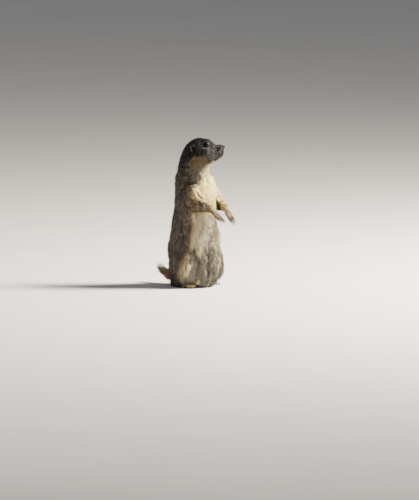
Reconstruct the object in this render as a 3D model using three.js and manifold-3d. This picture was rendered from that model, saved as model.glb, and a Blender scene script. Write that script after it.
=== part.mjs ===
// A prairie dog sitting bolt upright on its haunches with its forepaws held in front of it and its head
// turned to its left, life size, in millimetres, out to the tips of its coat.
// +Z is up, the animal faces -Y, and its own left side is +X. The origin is on the floor under its belly.
import * as THREE from "three";
import { ParametricGeometry } from "three/addons/geometries/ParametricGeometry.js";
import { mergeVertices } from "three/addons/utils/BufferGeometryUtils.js";
import Module from "manifold-3d";

const wasm = await Module();
wasm.setup();

const { degToRad, lerp, smoothstep } = THREE.MathUtils;
const vec = (x, y, z) => new THREE.Vector3(x, y, z);
const SIDES = { left: 1, right: -1 };

// Driving sizes
const GAP = 0.3; // between two nodes that touch
const HEAD_TURN = degToRad(28); // how far the head looks to the animal's left
const TURN_FROM = 185; // the neck starts to turn here along the body
const TURN_TO = 250;
const PIVOT = { forward: 38, height: 219 }; // point before the throat that the head's sections fan about
const FAN = 219; // the fan starts here along the body
const FAN_STEP = 11; // along the body for each 15 degrees of the fan
const EYE = { forward: 22, side: 16.2, height: 270.2, radius: 5.2 };
const EAR = { forward: -3, side: 20.5, height: 263, ring: 4.6, rise: 6 };
const NECK_CUT = 203; // height of the cut between chest and neck
const HEAD_CUT = 24; // degrees round the fan, between neck and head
const WAIST_CUT = 128; // height of the cut between chest and abdomen

// The body's sections from under the rump to the muzzle. at: the distance along the body; forward and
// height: the section's middle in the plane that halves the body; tilt: 0 lies flat, 90 stands upright;
// back and front: the reach to the spine or crown, and to the belly or throat; half: the reach to a side;
// egg: how much narrower it is on the spine's side.
const TRUNK = [
  { at: -14, forward: -8, height: -14, back: 0, front: 0, half: 0 },
  { at: -12, forward: -8, height: -12, back: 18, front: 12, half: 16 },
  { at: -6, forward: -8, height: -6, back: 35, front: 22, half: 29 },
  { at: 0, forward: -8, height: 0, back: 43, front: 32, half: 36 },
  { at: 10, forward: -4, height: 10, back: 48.5, front: 43, half: 42 },
  { at: 27, forward: 0, height: 27, back: 50, front: 53, half: 45.5 },
  { at: 45, forward: 1, height: 45, back: 51, front: 54.5, half: 46 },
  { at: 62, forward: -1, height: 62, back: 53, front: 54, half: 46.5 },
  { at: 80, forward: -3, height: 80, back: 53.5, front: 51.5, half: 47 },
  { at: 100, forward: -3, height: 100, back: 48, front: 48.5, half: 46 },
  { at: 125, forward: -3, height: 125, back: 43.5, front: 44.5, half: 43 },
  { at: 150, forward: -2.5, height: 150, back: 40.5, front: 42, half: 40 },
  { at: 175, forward: -2, height: 175, back: 39.5, front: 42, half: 37.5 },
  { at: 195, forward: -3, height: 195, back: 39, front: 40.5, half: 35.5 },
  { at: 208, forward: -4, height: 208, back: 36.5, front: 37.3, half: 33 },
].map((s) => ({ tilt: 0, egg: 0, ...s }));
// The fan's sections: near and far: where each starts and ends, measured from the pivot.
const HEAD_FAN = [
  { turn: 0, near: 11.5, far: 74.5, half: 31.5, egg: 0 },
  { turn: 15, near: 12.5, far: 72.5, half: 30, egg: 0.03 },
  { turn: 30, near: 13.5, far: 74, half: 28.5, egg: 0.1 },
  { turn: 45, near: 14.5, far: 75.4, half: 27.5, egg: 0.16 },
  { turn: 60, near: 13.5, far: 73, half: 26.5, egg: 0.18 },
  { turn: 75, near: 14, far: 63.4, half: 24, egg: 0.14 },
  { turn: 90, near: 17, far: 52.3, half: 17.4, egg: 0.06 },
].map(({ turn, near, far, half, egg }) => {
  const tilt = degToRad(turn);
  const middle = (near + far) / 2;
  return {
    at: FAN + (turn / 15) * FAN_STEP,
    forward: PIVOT.forward - middle * Math.cos(tilt),
    height: PIVOT.height + middle * Math.sin(tilt),
    tilt: turn,
    back: (far - near) / 2,
    front: (far - near) / 2,
    half,
    egg,
  };
});
const MUZZLE = [
  { at: 293, forward: 46, height: 257, back: 13.7, front: 14.2, half: 14 },
  { at: 297.5, forward: 50, height: 259, back: 10.6, front: 11.6, half: 11.4 },
  { at: 300, forward: 52, height: 259.8, back: 6.8, front: 7.8, half: 7.8 },
  { at: 301.2, forward: 52.8, height: 259.8, back: 0, front: 0, half: 0 },
].map((s) => ({ tilt: 90, egg: 0.05, ...s }));
const SECTIONS = [...TRUNK, ...HEAD_FAN, ...MUZZLE];
const FIRST = SECTIONS[0].at;
const LAST = SECTIONS[SECTIONS.length - 1].at;

// Swellings and hollows of the head, on both sides: where each is, how far it reaches, and its rise.
const FORMS = [
  { forward: 20, side: 13, height: 277, reach: [8, 6, 3.5], rise: 1.2 }, // brow
  { forward: 23, side: 19, height: 268.5, reach: [8, 6, 6], rise: -1.8 }, // eye hollow
  { forward: 34, side: 12, height: 262, reach: [9, 5, 5], rise: -1.2 }, // side of the bridge
  { forward: 45, side: 9, height: 251.5, reach: [7, 5, 5], rise: 1.6 }, // whisker pad
  { forward: 9, side: 26, height: 246, reach: [14, 9, 12], rise: 2.2 }, // cheek
  { forward: -4, side: 23, height: 262, reach: [7, 6, 8], rise: -1 }, // hollow before the ear
];

// A value between two neighbours of a list, on a smooth curve through all of them.
function smoothly(list, key, at) {
  let i = 1;
  while (i < list.length - 1 && list[i].at < at) i += 1;
  const [a, b, c, d] = [Math.max(0, i - 2), i - 1, i, Math.min(list.length - 1, i + 1)].map((k) => list[k]);
  const slope = (p, q) => (q[key] - p[key]) / (q.at - p.at || 1);
  const span = c.at - b.at;
  const t = (at - b.at) / span;
  const start = (a === b ? slope(b, c) : slope(a, c)) * span;
  const end = (c === d ? slope(b, c) : slope(b, d)) * span;
  return (
    (2 * t ** 3 - 3 * t ** 2 + 1) * b[key] +
    (t ** 3 - 2 * t ** 2 + t) * start +
    (3 * t ** 2 - 2 * t ** 3) * c[key] +
    (t ** 3 - t ** 2) * end
  );
}

// A point given forward, to the animal's left and up, in the plane turned by yaw about the upright axis.
function turned(forward, side, height, yaw = HEAD_TURN) {
  const [c, s] = [Math.cos(yaw), Math.sin(yaw)];
  return vec(forward * s + side * c, -forward * c + side * s, height);
}

// The body's skin: a section for each place along the body, rounded and swollen by the forms above.
function bodyPoint(at, round, grow) {
  const s = {};
  for (const key of ["forward", "height", "tilt", "back", "front", "half", "egg"]) {
    s[key] = smoothly(SECTIONS, key, at);
  }
  const yaw = HEAD_TURN * smoothstep(at, TURN_FROM, TURN_TO);
  const tilt = degToRad(s.tilt);
  const [across, up] = [Math.cos(round), Math.sin(round)];
  const side = s.half * across * (1 - s.egg * up);
  const reach = (up > 0 ? s.back : s.front) * up;
  const forward = s.forward - reach * Math.cos(tilt);
  const height = s.height + reach * Math.sin(tilt);
  let rise = grow;
  for (const f of FORMS) {
    const d = [forward - f.forward, Math.abs(side) - f.side, height - f.height];
    rise += f.rise * Math.exp(-d.reduce((sum, v, k) => sum + (v / f.reach[k]) ** 2, 0));
  }
  const middle = turned(s.forward, 0, s.height, yaw);
  const point = turned(forward, side, height, yaw);
  return point.add(point.clone().sub(middle).setLength(rise));
}

// Closed surface from a function of two numbers, which runs round in u and from pole to pole in v.
function closed(pointAt, slices, stacks) {
  const geometry = new ParametricGeometry((u, v, target) => target.copy(pointAt(u % 1, v)), slices, stacks);
  return solid(geometry);
}

function solid(geometry) {
  geometry.deleteAttribute("normal");
  geometry.deleteAttribute("uv");
  const merged = mergeVertices(geometry, 1e-3);
  const index = [...merged.index.array];
  const faces = [];
  for (let i = 0; i < index.length; i += 3) {
    const [a, b, c] = index.slice(i, i + 3);
    if (a !== b && b !== c && c !== a) faces.push(a, b, c);
  }
  const make = (triVerts) =>
    new wasm.Manifold(
      new wasm.Mesh({ numProp: 3, vertProperties: merged.attributes.position.array, triVerts }),
    );
  const made = make(new Uint32Array(faces));
  if (made.volume() > 0) return made;
  for (let i = 0; i < faces.length; i += 3) [faces[i], faces[i + 1]] = [faces[i + 1], faces[i]];
  return make(new Uint32Array(faces));
}

const joined = (pieces) => pieces.reduce((sum, piece) => sum.add(piece));
const cutBy = (piece, cutters) => cutters.reduce((rest, cutter) => rest.subtract(cutter), piece);
const largest = (piece) => piece.decompose().sort((a, b) => b.volume() - a.volume())[0];

const BODY_ROWS = 40;
const BODY_ROUND = 26;
const TRUNK_ROWS = 0.36; // share of the rows that the trunk takes
function body(grow = 0) {
  const rowAt = (v) =>
    v < TRUNK_ROWS
      ? lerp(FIRST, FAN - 8, (v / TRUNK_ROWS) ** 1.05)
      : lerp(FAN - 8, LAST, 1 - (1 - (v - TRUNK_ROWS) / (1 - TRUNK_ROWS)) ** 1.1);
  return closed((u, v) => bodyPoint(rowAt(v), u * 2 * Math.PI, grow), BODY_ROUND, BODY_ROWS);
}

// An egg: three half-axes about a centre, blunter or sharper at its front, turned about the upright axis.
function egg(centre, [wide, long, tall], yaw, pitch, blunt, slices, stacks) {
  const axis = new THREE.Euler(pitch, 0, yaw, "ZXY");
  return closed(
    (u, v) => {
      const [a, b] = [u * 2 * Math.PI, (v - 0.5) * Math.PI];
      const taper = 1 + blunt * Math.sin(b);
      const r = Math.cos(b) * taper;
      const p = vec(wide * Math.cos(a) * r, -long * Math.sin(b), tall * Math.sin(a) * r);
      return p.applyEuler(axis).add(centre);
    },
    slices,
    stacks,
  );
}

// A limb: an oval section carried along a smooth curve, with rounded ends. stops: [point, width, thickness].
function limb(stops, acrossTo, slices, stacks, grow = 0, caps = [1, 1]) {
  const curve = new THREE.CatmullRomCurve3(
    stops.map((s) => s[0]),
    false,
    "centripetal",
  );
  const sizes = stops.map(([, width, thick], i) => ({ at: i / (stops.length - 1), width, thick }));
  const CAP = 0.16;
  return closed(
    (u, v) => {
      const end = v < CAP ? 0 : v > 1 - CAP ? 1 : -1;
      const t = end < 0 ? (v - CAP) / (1 - 2 * CAP) : end;
      const bend = end < 0 ? 0 : (end ? (v - 1 + CAP) / CAP : (CAP - v) / CAP) * (Math.PI / 2);
      const tangent = curve.getTangent(t);
      const across = acrossTo.clone().addScaledVector(tangent, -acrossTo.dot(tangent)).normalize();
      const over = tangent.clone().cross(across);
      const width = (smoothly(sizes, "width", t) + grow) * Math.cos(bend);
      const thick = (smoothly(sizes, "thick", t) + grow) * Math.cos(bend);
      const cap = end < 0 ? 0 : caps[end] * sizes[end * (sizes.length - 1)].thick + grow;
      const past = (end > 0 ? 1 : -1) * Math.sin(bend) * cap;
      const angle = u * 2 * Math.PI;
      return curve
        .getPoint(t)
        .addScaledVector(tangent, past)
        .addScaledVector(across, width * Math.cos(angle))
        .addScaledVector(over, thick * Math.sin(angle));
    },
    slices,
    stacks,
  );
}

// A solid whose outline in the plane that halves the head is given as [forward, height] points.
const HEAD_WIDTH = 80;
function headSlab(points) {
  const outline = new THREE.Shape(points.map(([f, h]) => new THREE.Vector2(f, h)));
  const slab = new THREE.ExtrudeGeometry(outline, { depth: HEAD_WIDTH, bevelEnabled: false });
  const [forward, up, side] = [turned(1, 0, 0), vec(0, 0, 1), turned(0, -1, 0)];
  slab.applyMatrix4(new THREE.Matrix4().makeBasis(forward, up, side));
  slab.translate(...turned(0, HEAD_WIDTH / 2, 0).toArray());
  return solid(slab);
}

// The mouth's line as a band of a given thickness, from before the lips back to the corner.
const MOUTH = [
  [60, 250.2],
  [51, 248.6],
  [45, 245.6],
  [38, 242.4],
  [34.5, 241.6],
];
const mouthBand = (above, below) => {
  const upper = MOUTH.map(([f, h]) => [f, h + above]);
  const lower = MOUTH.map(([f, h]) => [f, h - below]);
  return headSlab([...upper, ...lower.reverse()]);
};
// The jaw's room under the mouth's line and before a slanted line behind its corner, set in by a gap.
const jawSlab = (inset) => {
  const mouth = MOUTH.map(([f, h]) => [f, h - inset]);
  return headSlab([...mouth, [24 + 2 * inset, 239 - inset], [12 + 2 * inset, 222], [60, 222]]);
};

function makeEye(side, grow = 0) {
  const centre = turned(EYE.forward, side * EYE.side, EYE.height);
  return solid(new THREE.SphereGeometry(EYE.radius + grow, 14, 9).translate(...centre.toArray()));
}

// The lids: a ring round the eye, drawn to a corner in front and behind, thicker above.
function lids(side) {
  const LID = { long: 5.1, tall: 4.1, bar: 1.25, out: 2.3 };
  const outward = turned(0.28, side, 0.12).normalize();
  const forward = turned(1, 0, 0).addScaledVector(outward, -turned(1, 0, 0).dot(outward)).normalize();
  const up = outward.clone().cross(forward).multiplyScalar(-side).normalize();
  const centre = turned(EYE.forward, side * EYE.side, EYE.height).addScaledVector(outward, LID.out);
  const ring = new THREE.TorusGeometry(1, LID.bar / LID.long, 5, 18);
  return closedRing(ring, (p) => {
    const thick = p.y > 0 ? 1.25 : 1;
    return centre
      .clone()
      .addScaledVector(forward, p.x * LID.long)
      .addScaledVector(up, p.y * LID.tall * thick ** 0.3)
      .addScaledVector(outward, p.z * LID.long * thick);
  });
}

function closedRing(geometry, place) {
  const points = geometry.getAttribute("position");
  for (let i = 0; i < points.count; i += 1) {
    const p = place(new THREE.Vector3().fromBufferAttribute(points, i));
    points.setXYZ(i, p.x, p.y, p.z);
  }
  return solid(geometry);
}

// The nose pad with its two nostrils and the cleft under it.
const NOSE = { forward: 51.6, height: 265.8, long: 4.6, wide: 4.9, tall: 3.9 };
function nosePad(grow = 0) {
  return closed(
    (u, v) => {
      const [a, b] = [u * 2 * Math.PI, (v - 0.5) * Math.PI];
      const r = Math.cos(b);
      return turned(
        NOSE.forward + (NOSE.long + grow) * Math.sin(b),
        (NOSE.wide + grow) * Math.cos(a) * r,
        NOSE.height + (NOSE.tall + grow) * Math.sin(a) * r,
      );
    },
    14,
    9,
  );
}
function nostril(side) {
  const at = (forward, out, height) => turned(NOSE.forward + forward, side * out, NOSE.height + height);
  return limb(
    [
      [at(4.8, 1.5, -1.2), 0.85, 0.65],
      [at(3.6, 3.1, 0.1), 1, 0.75],
      [at(1.3, 4.9, 0.8), 0.5, 0.4],
    ],
    vec(0, 0, 1),
    6,
    6,
  );
}

// An ear: a thin wall that curls round the ear hole from its front below to its front above.
function makeEar(side) {
  const HOLE = turned(EAR.forward, side * EAR.side, EAR.height);
  const outward = turned(0.1, side, 0.25).normalize();
  const forward = turned(1, 0, 0);
  const up = vec(0, 0, 1);
  const SPREAD = degToRad(128);
  const ROOT = 3.5;
  return closed(
    (u, v) => {
      const along = lerp(-SPREAD, SPREAD, v);
      const crest = Math.cos((along / SPREAD) * 1.35);
      const height = ROOT + 0.8 + EAR.rise * crest;
      const angle = u * 2 * Math.PI;
      const part = (1 - Math.cos(angle)) / 2; // 0 at the root, 1 at the rim
      const thick = 1.1 * (1 - 0.45 * part) * Math.sin(angle);
      const pinch = Math.min(1, 30 * v, 30 * (1 - v));
      const flare = EAR.ring + 2.6 * part * crest + thick * pinch;
      const round = Math.PI + along - 0.25;
      return HOLE.clone()
        .addScaledVector(outward, -ROOT + height * part * pinch + (1 - pinch) * 2)
        .addScaledVector(forward, flare * Math.cos(round) * 0.82)
        .addScaledVector(up, flare * Math.sin(round) * 1.12);
    },
    10,
    12,
  );
}

// Haunch: the folded thigh and shin under their coat, a tall egg beside the belly.
const HAUNCH = { side: 33, forward: -5, height: 42, half: 22, long: 36.5, tall: 46 };
function haunch(side, grow = 0) {
  const { half, long, tall } = HAUNCH;
  return egg(
    vec(side * HAUNCH.side, -HAUNCH.forward, HAUNCH.height),
    [half + grow, long + grow, tall + grow],
    side * degToRad(12),
    degToRad(6),
    -0.06,
    18,
    10,
  );
}

// Hind foot: a flat sole with five toes, turned outward.
const FOOT = { heel: [20, 22], turn: 26, sole: 33, half: 8.4, tall: 6.2 };
const TOES = [
  { out: -8.6, start: 20, long: 10, spread: -16, half: 2.5 },
  { out: -4.6, start: 27, long: 17, spread: -8, half: 2.9 },
  { out: 0, start: 29, long: 19, spread: 0, half: 3 },
  { out: 4.4, start: 27.5, long: 18, spread: 8, half: 2.9 },
  { out: 8.2, start: 22, long: 12, spread: 18, half: 2.5 },
];
const HIND_CLAW = 8;
function footFrame(side) {
  const turn = degToRad(FOOT.turn);
  const forward = vec(side * Math.sin(turn), -Math.cos(turn), 0);
  const outward = vec(side * Math.cos(turn), Math.sin(turn), 0);
  const heel = vec(side * FOOT.heel[0], FOOT.heel[1], 0);
  return (along, out, up) =>
    heel.clone().addScaledVector(forward, along).addScaledVector(outward, out).setZ(up);
}
function toePath(side, toe) {
  const at = footFrame(side);
  const spread = degToRad(toe.spread);
  return [0, 0.45, 0.8, 1].map((t, i) => {
    const reach = toe.long * t;
    return at(toe.start + reach * Math.cos(spread), toe.out + reach * Math.sin(spread), [4.2, 5, 4, 3][i]);
  });
}
function foot(side, grow = 0) {
  const at = footFrame(side);
  const across = at(0, 1, 0).sub(at(0, 0, 0));
  const sole = limb(
    [
      [at(2, 0, 4.5), 6, 5.4],
      [at(12, 0, 4.2), 7, 5.6],
      [at(24, 0, 4.4), FOOT.half, FOOT.tall],
      [at(FOOT.sole, 0, 3.6), FOOT.half, 4.6],
    ],
    across,
    12,
    8,
    grow,
  );
  const toes = TOES.map((toe) =>
    limb(
      toePath(side, toe).map((p, i) => [p, toe.half * [1, 1.02, 0.95, 0.72][i], [3.8, 3.3, 2.7, 2.2][i]]),
      across,
      6,
      6,
      grow,
    ),
  );
  return joined([sole, ...toes]);
}

// A claw: a tapering, slightly curved spike that starts inside the end of its toe.
function claw(root, along, down, length, half, grow = 0) {
  const at = (t) =>
    root
      .clone()
      .addScaledVector(along, length * t)
      .addScaledVector(down, length * 0.32 * t * t);
  return limb(
    [
      [at(-0.05), half * 0.85, half],
      [at(0.3), half * 0.85, half * 1.05],
      [at(0.65), half * 0.6, half * 0.8],
      [at(1), 0.28, 0.3],
    ],
    along.clone().cross(down).normalize(),
    6,
    5,
    grow,
  );
}

function hindClaws(side, grow = 0) {
  return TOES.map((toe) => {
    const path = toePath(side, toe);
    const along = path[3].clone().sub(path[2]).setZ(-0.6).normalize();
    return claw(path[3], along, vec(0, 0, -1), HIND_CLAW, 1.35, grow);
  });
}

// Arms: shoulder, elbow and wrist of each, and where its fingers point.
const ARMS = {
  left: {
    shoulder: vec(28, -7, 190),
    elbow: vec(39, -20.5, 156),
    wrist: vec(20, -53.5, 150),
    knuckle: vec(20, -60.5, 141.5),
    tip: vec(21, -65.5, 131),
    claws: vec(0.05, -0.8, -0.6),
  },
  right: {
    shoulder: vec(-27.5, -13, 187),
    elbow: vec(-36.5, -20, 157),
    wrist: vec(-17.5, -43.5, 151),
    knuckle: vec(-16.5, -55, 142),
    tip: vec(-16, -67, 131.5),
    claws: vec(-0.05, -0.9, -0.4),
  },
};
function upperArm(arm, grow = 0) {
  const { shoulder, elbow } = arm;
  const middle = shoulder.clone().lerp(elbow, 0.5).add(vec(Math.sign(elbow.x) * 1.5, 1, 0));
  return limb(
    [
      [shoulder, 14.5, 15.5],
      [middle, 14, 15],
      [elbow, 12, 12.5],
    ],
    vec(1, 0, 0),
    16,
    9,
    grow,
    [0.9, 0.9],
  );
}
function forearm(arm, grow = 0) {
  const { elbow, wrist } = arm;
  const along = wrist.clone().sub(elbow).normalize();
  return limb(
    [
      [elbow.clone().addScaledVector(along, -2), 11.5, 12.2],
      [elbow.clone().lerp(wrist, 0.4).add(vec(0, 0, 1.5)), 10.4, 11.8],
      [elbow.clone().lerp(wrist, 0.76).add(vec(0, 0, 0.5)), 7.8, 8.4],
      [wrist, 6.2, 5.8],
    ],
    vec(0, 0, 1).cross(along).normalize(),
    14,
    9,
    grow,
    [0.9, 0.7],
  );
}
const FINGERS = [
  { out: -6, back: 5.5, spread: -26, long: 7.5, half: 1.7 },
  { out: -4.6, back: 1.2, spread: -11, long: 14, half: 2.1 },
  { out: -1.5, back: 0, spread: -3, long: 16, half: 2.2 },
  { out: 1.9, back: 0.4, spread: 5, long: 15.2, half: 2.2 },
  { out: 5, back: 2.4, spread: 15, long: 12.5, half: 2 },
];
const FRONT_CLAW = 10;
// out runs away from the body's middle, so the first finger, the thumb, is on the inner side.
function fingerPath(arm, finger) {
  const side = Math.sign(arm.elbow.x);
  const down = arm.tip.clone().sub(arm.knuckle).normalize();
  const hand = arm.knuckle.clone().sub(arm.wrist).normalize();
  const out = vec(side, 0, 0);
  const spread = Math.tan(degToRad(finger.spread));
  const root = arm.knuckle.clone().addScaledVector(out, finger.out).addScaledVector(hand, -finger.back);
  return [0, 0.4, 0.75, 1].map((t) => {
    const bend = hand.clone().lerp(down, Math.min(1, 0.45 + t)).normalize();
    return root
      .clone()
      .addScaledVector(bend, finger.long * t)
      .addScaledVector(out, spread * finger.long * t);
  });
}
function fingers(arm, grow = 0) {
  return FINGERS.map((finger) => {
    const stops = fingerPath(arm, finger).map((p, i) => [
      p,
      finger.half * [1, 1.08, 0.95, 0.8][i],
      finger.half * [1.1, 1.1, 0.95, 0.8][i],
    ]);
    return limb(stops, vec(1, 0, 0), 6, 6, grow);
  });
}
function hand(arm) {
  const { wrist, knuckle } = arm;
  const palm = limb(
    [
      [wrist.clone().lerp(knuckle, -0.25), 5.9, 5.2],
      [wrist.clone().lerp(knuckle, 0.4), 6.6, 4.6],
      [knuckle, 7, 3.6],
    ],
    vec(1, 0, 0),
    10,
    8,
    0,
    [0.6, 0.8],
  );
  return joined([palm, ...fingers(arm)]);
}

// Tail: a short stem that leaves the rump low down and ends in a brush of flat, overlapping locks.
const TAIL = [
  [vec(0, 36, 15), 11, 10],
  [vec(3, 55, 15), 10, 9.5],
  [vec(9, 72, 20), 9, 8.5],
  [vec(17, 88, 27), 7, 6.5],
];
const TAIL_CUT = 0.52; // share of the way along the stem where the brush begins
const LOCKS = { rings: 3, round: 5, long: 22, half: 4.8 };
function tailStem(grow = 0) {
  return limb(TAIL, vec(1, 0, 0), 14, 10, grow, [0.5, 1]);
}
function tailLocks() {
  const curve = new THREE.CatmullRomCurve3(TAIL.map((s) => s[0]));
  const locks = [];
  for (let ring = 0; ring < LOCKS.rings; ring += 1) {
    const t = lerp(0.66, 1, ring / (LOCKS.rings - 1));
    const tangent = curve.getTangent(t);
    const across = vec(1, 0, 0).addScaledVector(tangent, -tangent.x).normalize();
    const over = tangent.clone().cross(across);
    const radius = lerp(7.2, 2.4, ring / (LOCKS.rings - 1));
    const count = LOCKS.round - Math.max(0, ring - 1);
    for (let k = 0; k < count; k += 1) {
      const angle = ((k + 0.5 * (ring % 2) + 0.13 * Math.sin(7 * k + ring)) / count) * 2 * Math.PI;
      const outward = across.clone().multiplyScalar(Math.cos(angle)).addScaledVector(over, Math.sin(angle));
      const wide = tangent.clone().cross(outward);
      const length = LOCKS.long * (0.88 + 0.16 * Math.sin(5 * k + 3 * ring));
      const root = curve.getPoint(t).addScaledVector(outward, radius - 2.6);
      const at = (along, out) =>
        root.clone().addScaledVector(tangent, along * length).addScaledVector(outward, out);
      locks.push(
        limb(
          [
            [at(0, 0), LOCKS.half * 0.8, 1.5],
            [at(0.4, 2.4), LOCKS.half, 1.3],
            [at(0.75, 3.4), LOCKS.half * 0.7, 0.9],
            [at(1, 3.2), 0.35, 0.3],
          ],
          wide,
          4,
          5,
        ),
      );
    }
  }
  return locks;
}

// The finishes: coat colours by part of the body, bare skin, eyes and claws.
const FINISHES = {
  crown: new THREE.MeshStandardMaterial({ color: 0x6b5c4c, roughness: 0.95 }),
  jaw: new THREE.MeshStandardMaterial({ color: 0xa38d6b, roughness: 0.95 }),
  back: new THREE.MeshStandardMaterial({ color: 0x84715c, roughness: 0.95 }),
  belly: new THREE.MeshStandardMaterial({ color: 0xcdbf9c, roughness: 0.95 }),
  limbs: new THREE.MeshStandardMaterial({ color: 0xd2c096, roughness: 0.95 }),
  tail: new THREE.MeshStandardMaterial({ color: 0xb79c70, roughness: 0.95 }),
  nose: new THREE.MeshStandardMaterial({ color: 0x2a2423, roughness: 0.55 }),
  eye: new THREE.MeshStandardMaterial({ color: 0x120c09, roughness: 0.06 }),
  claw: new THREE.MeshStandardMaterial({ color: 0x2c2723, roughness: 0.4 }),
};

const prairieDog = new THREE.Group();
function add(name, piece, finish) {
  const mesh = largest(piece).getMesh();
  const geometry = new THREE.BufferGeometry();
  geometry.setAttribute("position", new THREE.BufferAttribute(mesh.vertProperties, 3));
  geometry.setIndex(new THREE.BufferAttribute(mesh.triVerts, 1));
  geometry.computeVertexNormals();
  const node = new THREE.Mesh(geometry, FINISHES[finish]);
  node.name = name;
  prairieDog.add(node);
}

const UP = [0, 0, 1];
const DOWN = [0, 0, -1];
const above = (piece, height) => piece.trimByPlane(UP, height);
const below = (piece, height) => piece.trimByPlane(DOWN, -height);
const onFloor = (piece) => above(piece, 0);

// Cuts at an angle round the fan, keeping the side towards the head or towards the body.
function fanCut(piece, degrees, towardsHead) {
  const a = degToRad(degrees);
  const normal = turned(Math.sin(a), 0, Math.cos(a));
  const through = turned(PIVOT.forward, 0, PIVOT.height);
  const sign = towardsHead ? 1 : -1;
  const facing = normal.clone().multiplyScalar(sign);
  return piece.trimByPlane(facing.toArray(), facing.dot(through) + GAP / 2);
}

const whole = body();
const wholeGrown = body(GAP);

// Hind legs
const legsGrown = [];
for (const [name, side] of Object.entries(SIDES)) {
  const footGrown = foot(side, GAP);
  const claws = hindClaws(side);
  const clawsGrown = hindClaws(side, GAP);
  claws.forEach((piece, i) => add(`hind_claw_${name}_${i + 1}`, onFloor(piece).subtract(footGrown), "claw"));
  add(`hind_foot_${name}`, onFloor(foot(side)), "limbs");
  add(`haunch_${name}`, cutBy(onFloor(haunch(side)), [footGrown, ...clawsGrown]), "back");
  legsGrown.push(haunch(side, GAP), footGrown, ...clawsGrown);
}

// Forelegs
const armsGrown = [];
for (const [name, arm] of Object.entries(ARMS)) {
  const upper = upperArm(arm);
  const lower = forearm(arm).subtract(upperArm(arm, GAP));
  const paw = cutBy(hand(arm), [forearm(arm, GAP), wholeGrown]);
  add(`upper_arm_${name}`, upper, "limbs");
  add(`forearm_${name}`, lower, "limbs");
  add(`forepaw_${name}`, paw, "limbs");
  FINGERS.forEach((finger, i) => {
    const path = fingerPath(arm, finger);
    const along = path[3].clone().sub(path[2]).normalize().lerp(arm.claws, 0.6).normalize();
    const piece = claw(path[3], along, vec(0, 0.35, -0.94), i ? FRONT_CLAW : 4.5, i ? 1.15 : 0.95);
    add(`front_claw_${name}_${i + 1}`, piece.subtract(joined(fingers(arm, GAP))), "claw");
  });
  armsGrown.push(upperArm(arm, GAP), forearm(arm, GAP));
}

// Torso and neck
const trunk = cutBy(onFloor(whole), [...legsGrown, ...armsGrown, tailStem(GAP)]);
add("abdomen", below(trunk, WAIST_CUT - GAP / 2), "belly");
add("chest", below(above(trunk, WAIST_CUT + GAP / 2), NECK_CUT - GAP / 2), "belly");
add("neck", fanCut(above(trunk, NECK_CUT + GAP / 2), HEAD_CUT, false), "back");

// Tail
const stem = cutBy(onFloor(joined([tailStem(), ...tailLocks()])), [haunch(1, GAP), haunch(-1, GAP)]);
const tailPlane = new THREE.CatmullRomCurve3(TAIL.map((s) => s[0]));
const tailAlong = tailPlane.getTangent(TAIL_CUT);
const tailMiddle = tailAlong.dot(tailPlane.getPoint(TAIL_CUT));
add("tail_root", stem.trimByPlane(tailAlong.clone().negate().toArray(), -tailMiddle + GAP / 2), "tail");
add("tail_brush", stem.trimByPlane(tailAlong.toArray(), tailMiddle + GAP / 2), "tail");

// Head
const eyes = Object.values(SIDES).map((side) => makeEye(side, GAP));
const lipBand = mouthBand(2.2, 2).intersect(body(0.5));
const groove = mouthBand(0.45, 0.45).subtract(body(-1.4));
const earPits = Object.values(SIDES).map((side) =>
  egg(turned(EAR.forward, side * (EAR.side + 1), EAR.height), [2.6, 2.6, 3.4], HEAD_TURN, 0, 0, 8, 6),
);
const skull = cutBy(joined([fanCut(whole, HEAD_CUT, true), lipBand, ...Object.values(SIDES).map(lids)]), [
  ...eyes,
  nosePad(GAP),
  groove,
  ...earPits,
]);
add("head", skull.subtract(jawSlab(-GAP / 2)), "crown");
add("lower_jaw", skull.intersect(jawSlab(GAP / 2)), "jaw");
add("nose", cutBy(nosePad(), Object.values(SIDES).map(nostril)), "nose");
for (const [name, side] of Object.entries(SIDES)) {
  add(`eye_${name}`, makeEye(side), "eye");
  add(`ear_${name}`, makeEar(side).subtract(wholeGrown), "crown");
}

export default prairieDog;
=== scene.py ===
import math

import bpy
import numpy as np
from mathutils import Matrix
from mathutils.kdtree import KDTree


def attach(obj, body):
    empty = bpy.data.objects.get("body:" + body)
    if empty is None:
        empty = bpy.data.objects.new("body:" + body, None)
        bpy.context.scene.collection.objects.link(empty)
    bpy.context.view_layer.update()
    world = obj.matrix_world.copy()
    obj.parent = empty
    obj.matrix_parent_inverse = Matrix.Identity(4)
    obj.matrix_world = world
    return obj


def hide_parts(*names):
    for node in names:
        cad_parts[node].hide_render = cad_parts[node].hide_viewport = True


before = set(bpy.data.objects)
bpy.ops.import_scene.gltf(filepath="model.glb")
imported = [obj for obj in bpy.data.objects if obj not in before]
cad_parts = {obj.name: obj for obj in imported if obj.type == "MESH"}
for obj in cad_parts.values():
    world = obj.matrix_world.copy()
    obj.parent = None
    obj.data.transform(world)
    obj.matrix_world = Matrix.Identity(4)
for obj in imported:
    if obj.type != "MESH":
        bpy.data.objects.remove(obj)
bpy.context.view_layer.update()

MM = 0.001  # shapes are worked out in millimetres and stored in metres
TURN = 2 * math.pi
SIDES = {"left": 1.0, "right": -1.0}
FLOOR = 0.4  # the skin stops this far above the floor, and the claws and coat reach down to it
UP = np.array([0.0, 0.0, 1.0])

# Camera: the photograph's angle, a long lens from far away
CAMERA_AZIMUTH = math.radians(-57)
CAMERA_HEIGHT = math.radians(6)
CAMERA_AWAY = 15.0
PICTURE_TALL = 0.95  # metres of picture height at the animal
PICTURE_MIDDLE = (0.0257, 0.0684)  # right of and above the origin, as the camera sees it
FLOOR_REACH = 60.0  # metres of floor to each side

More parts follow.
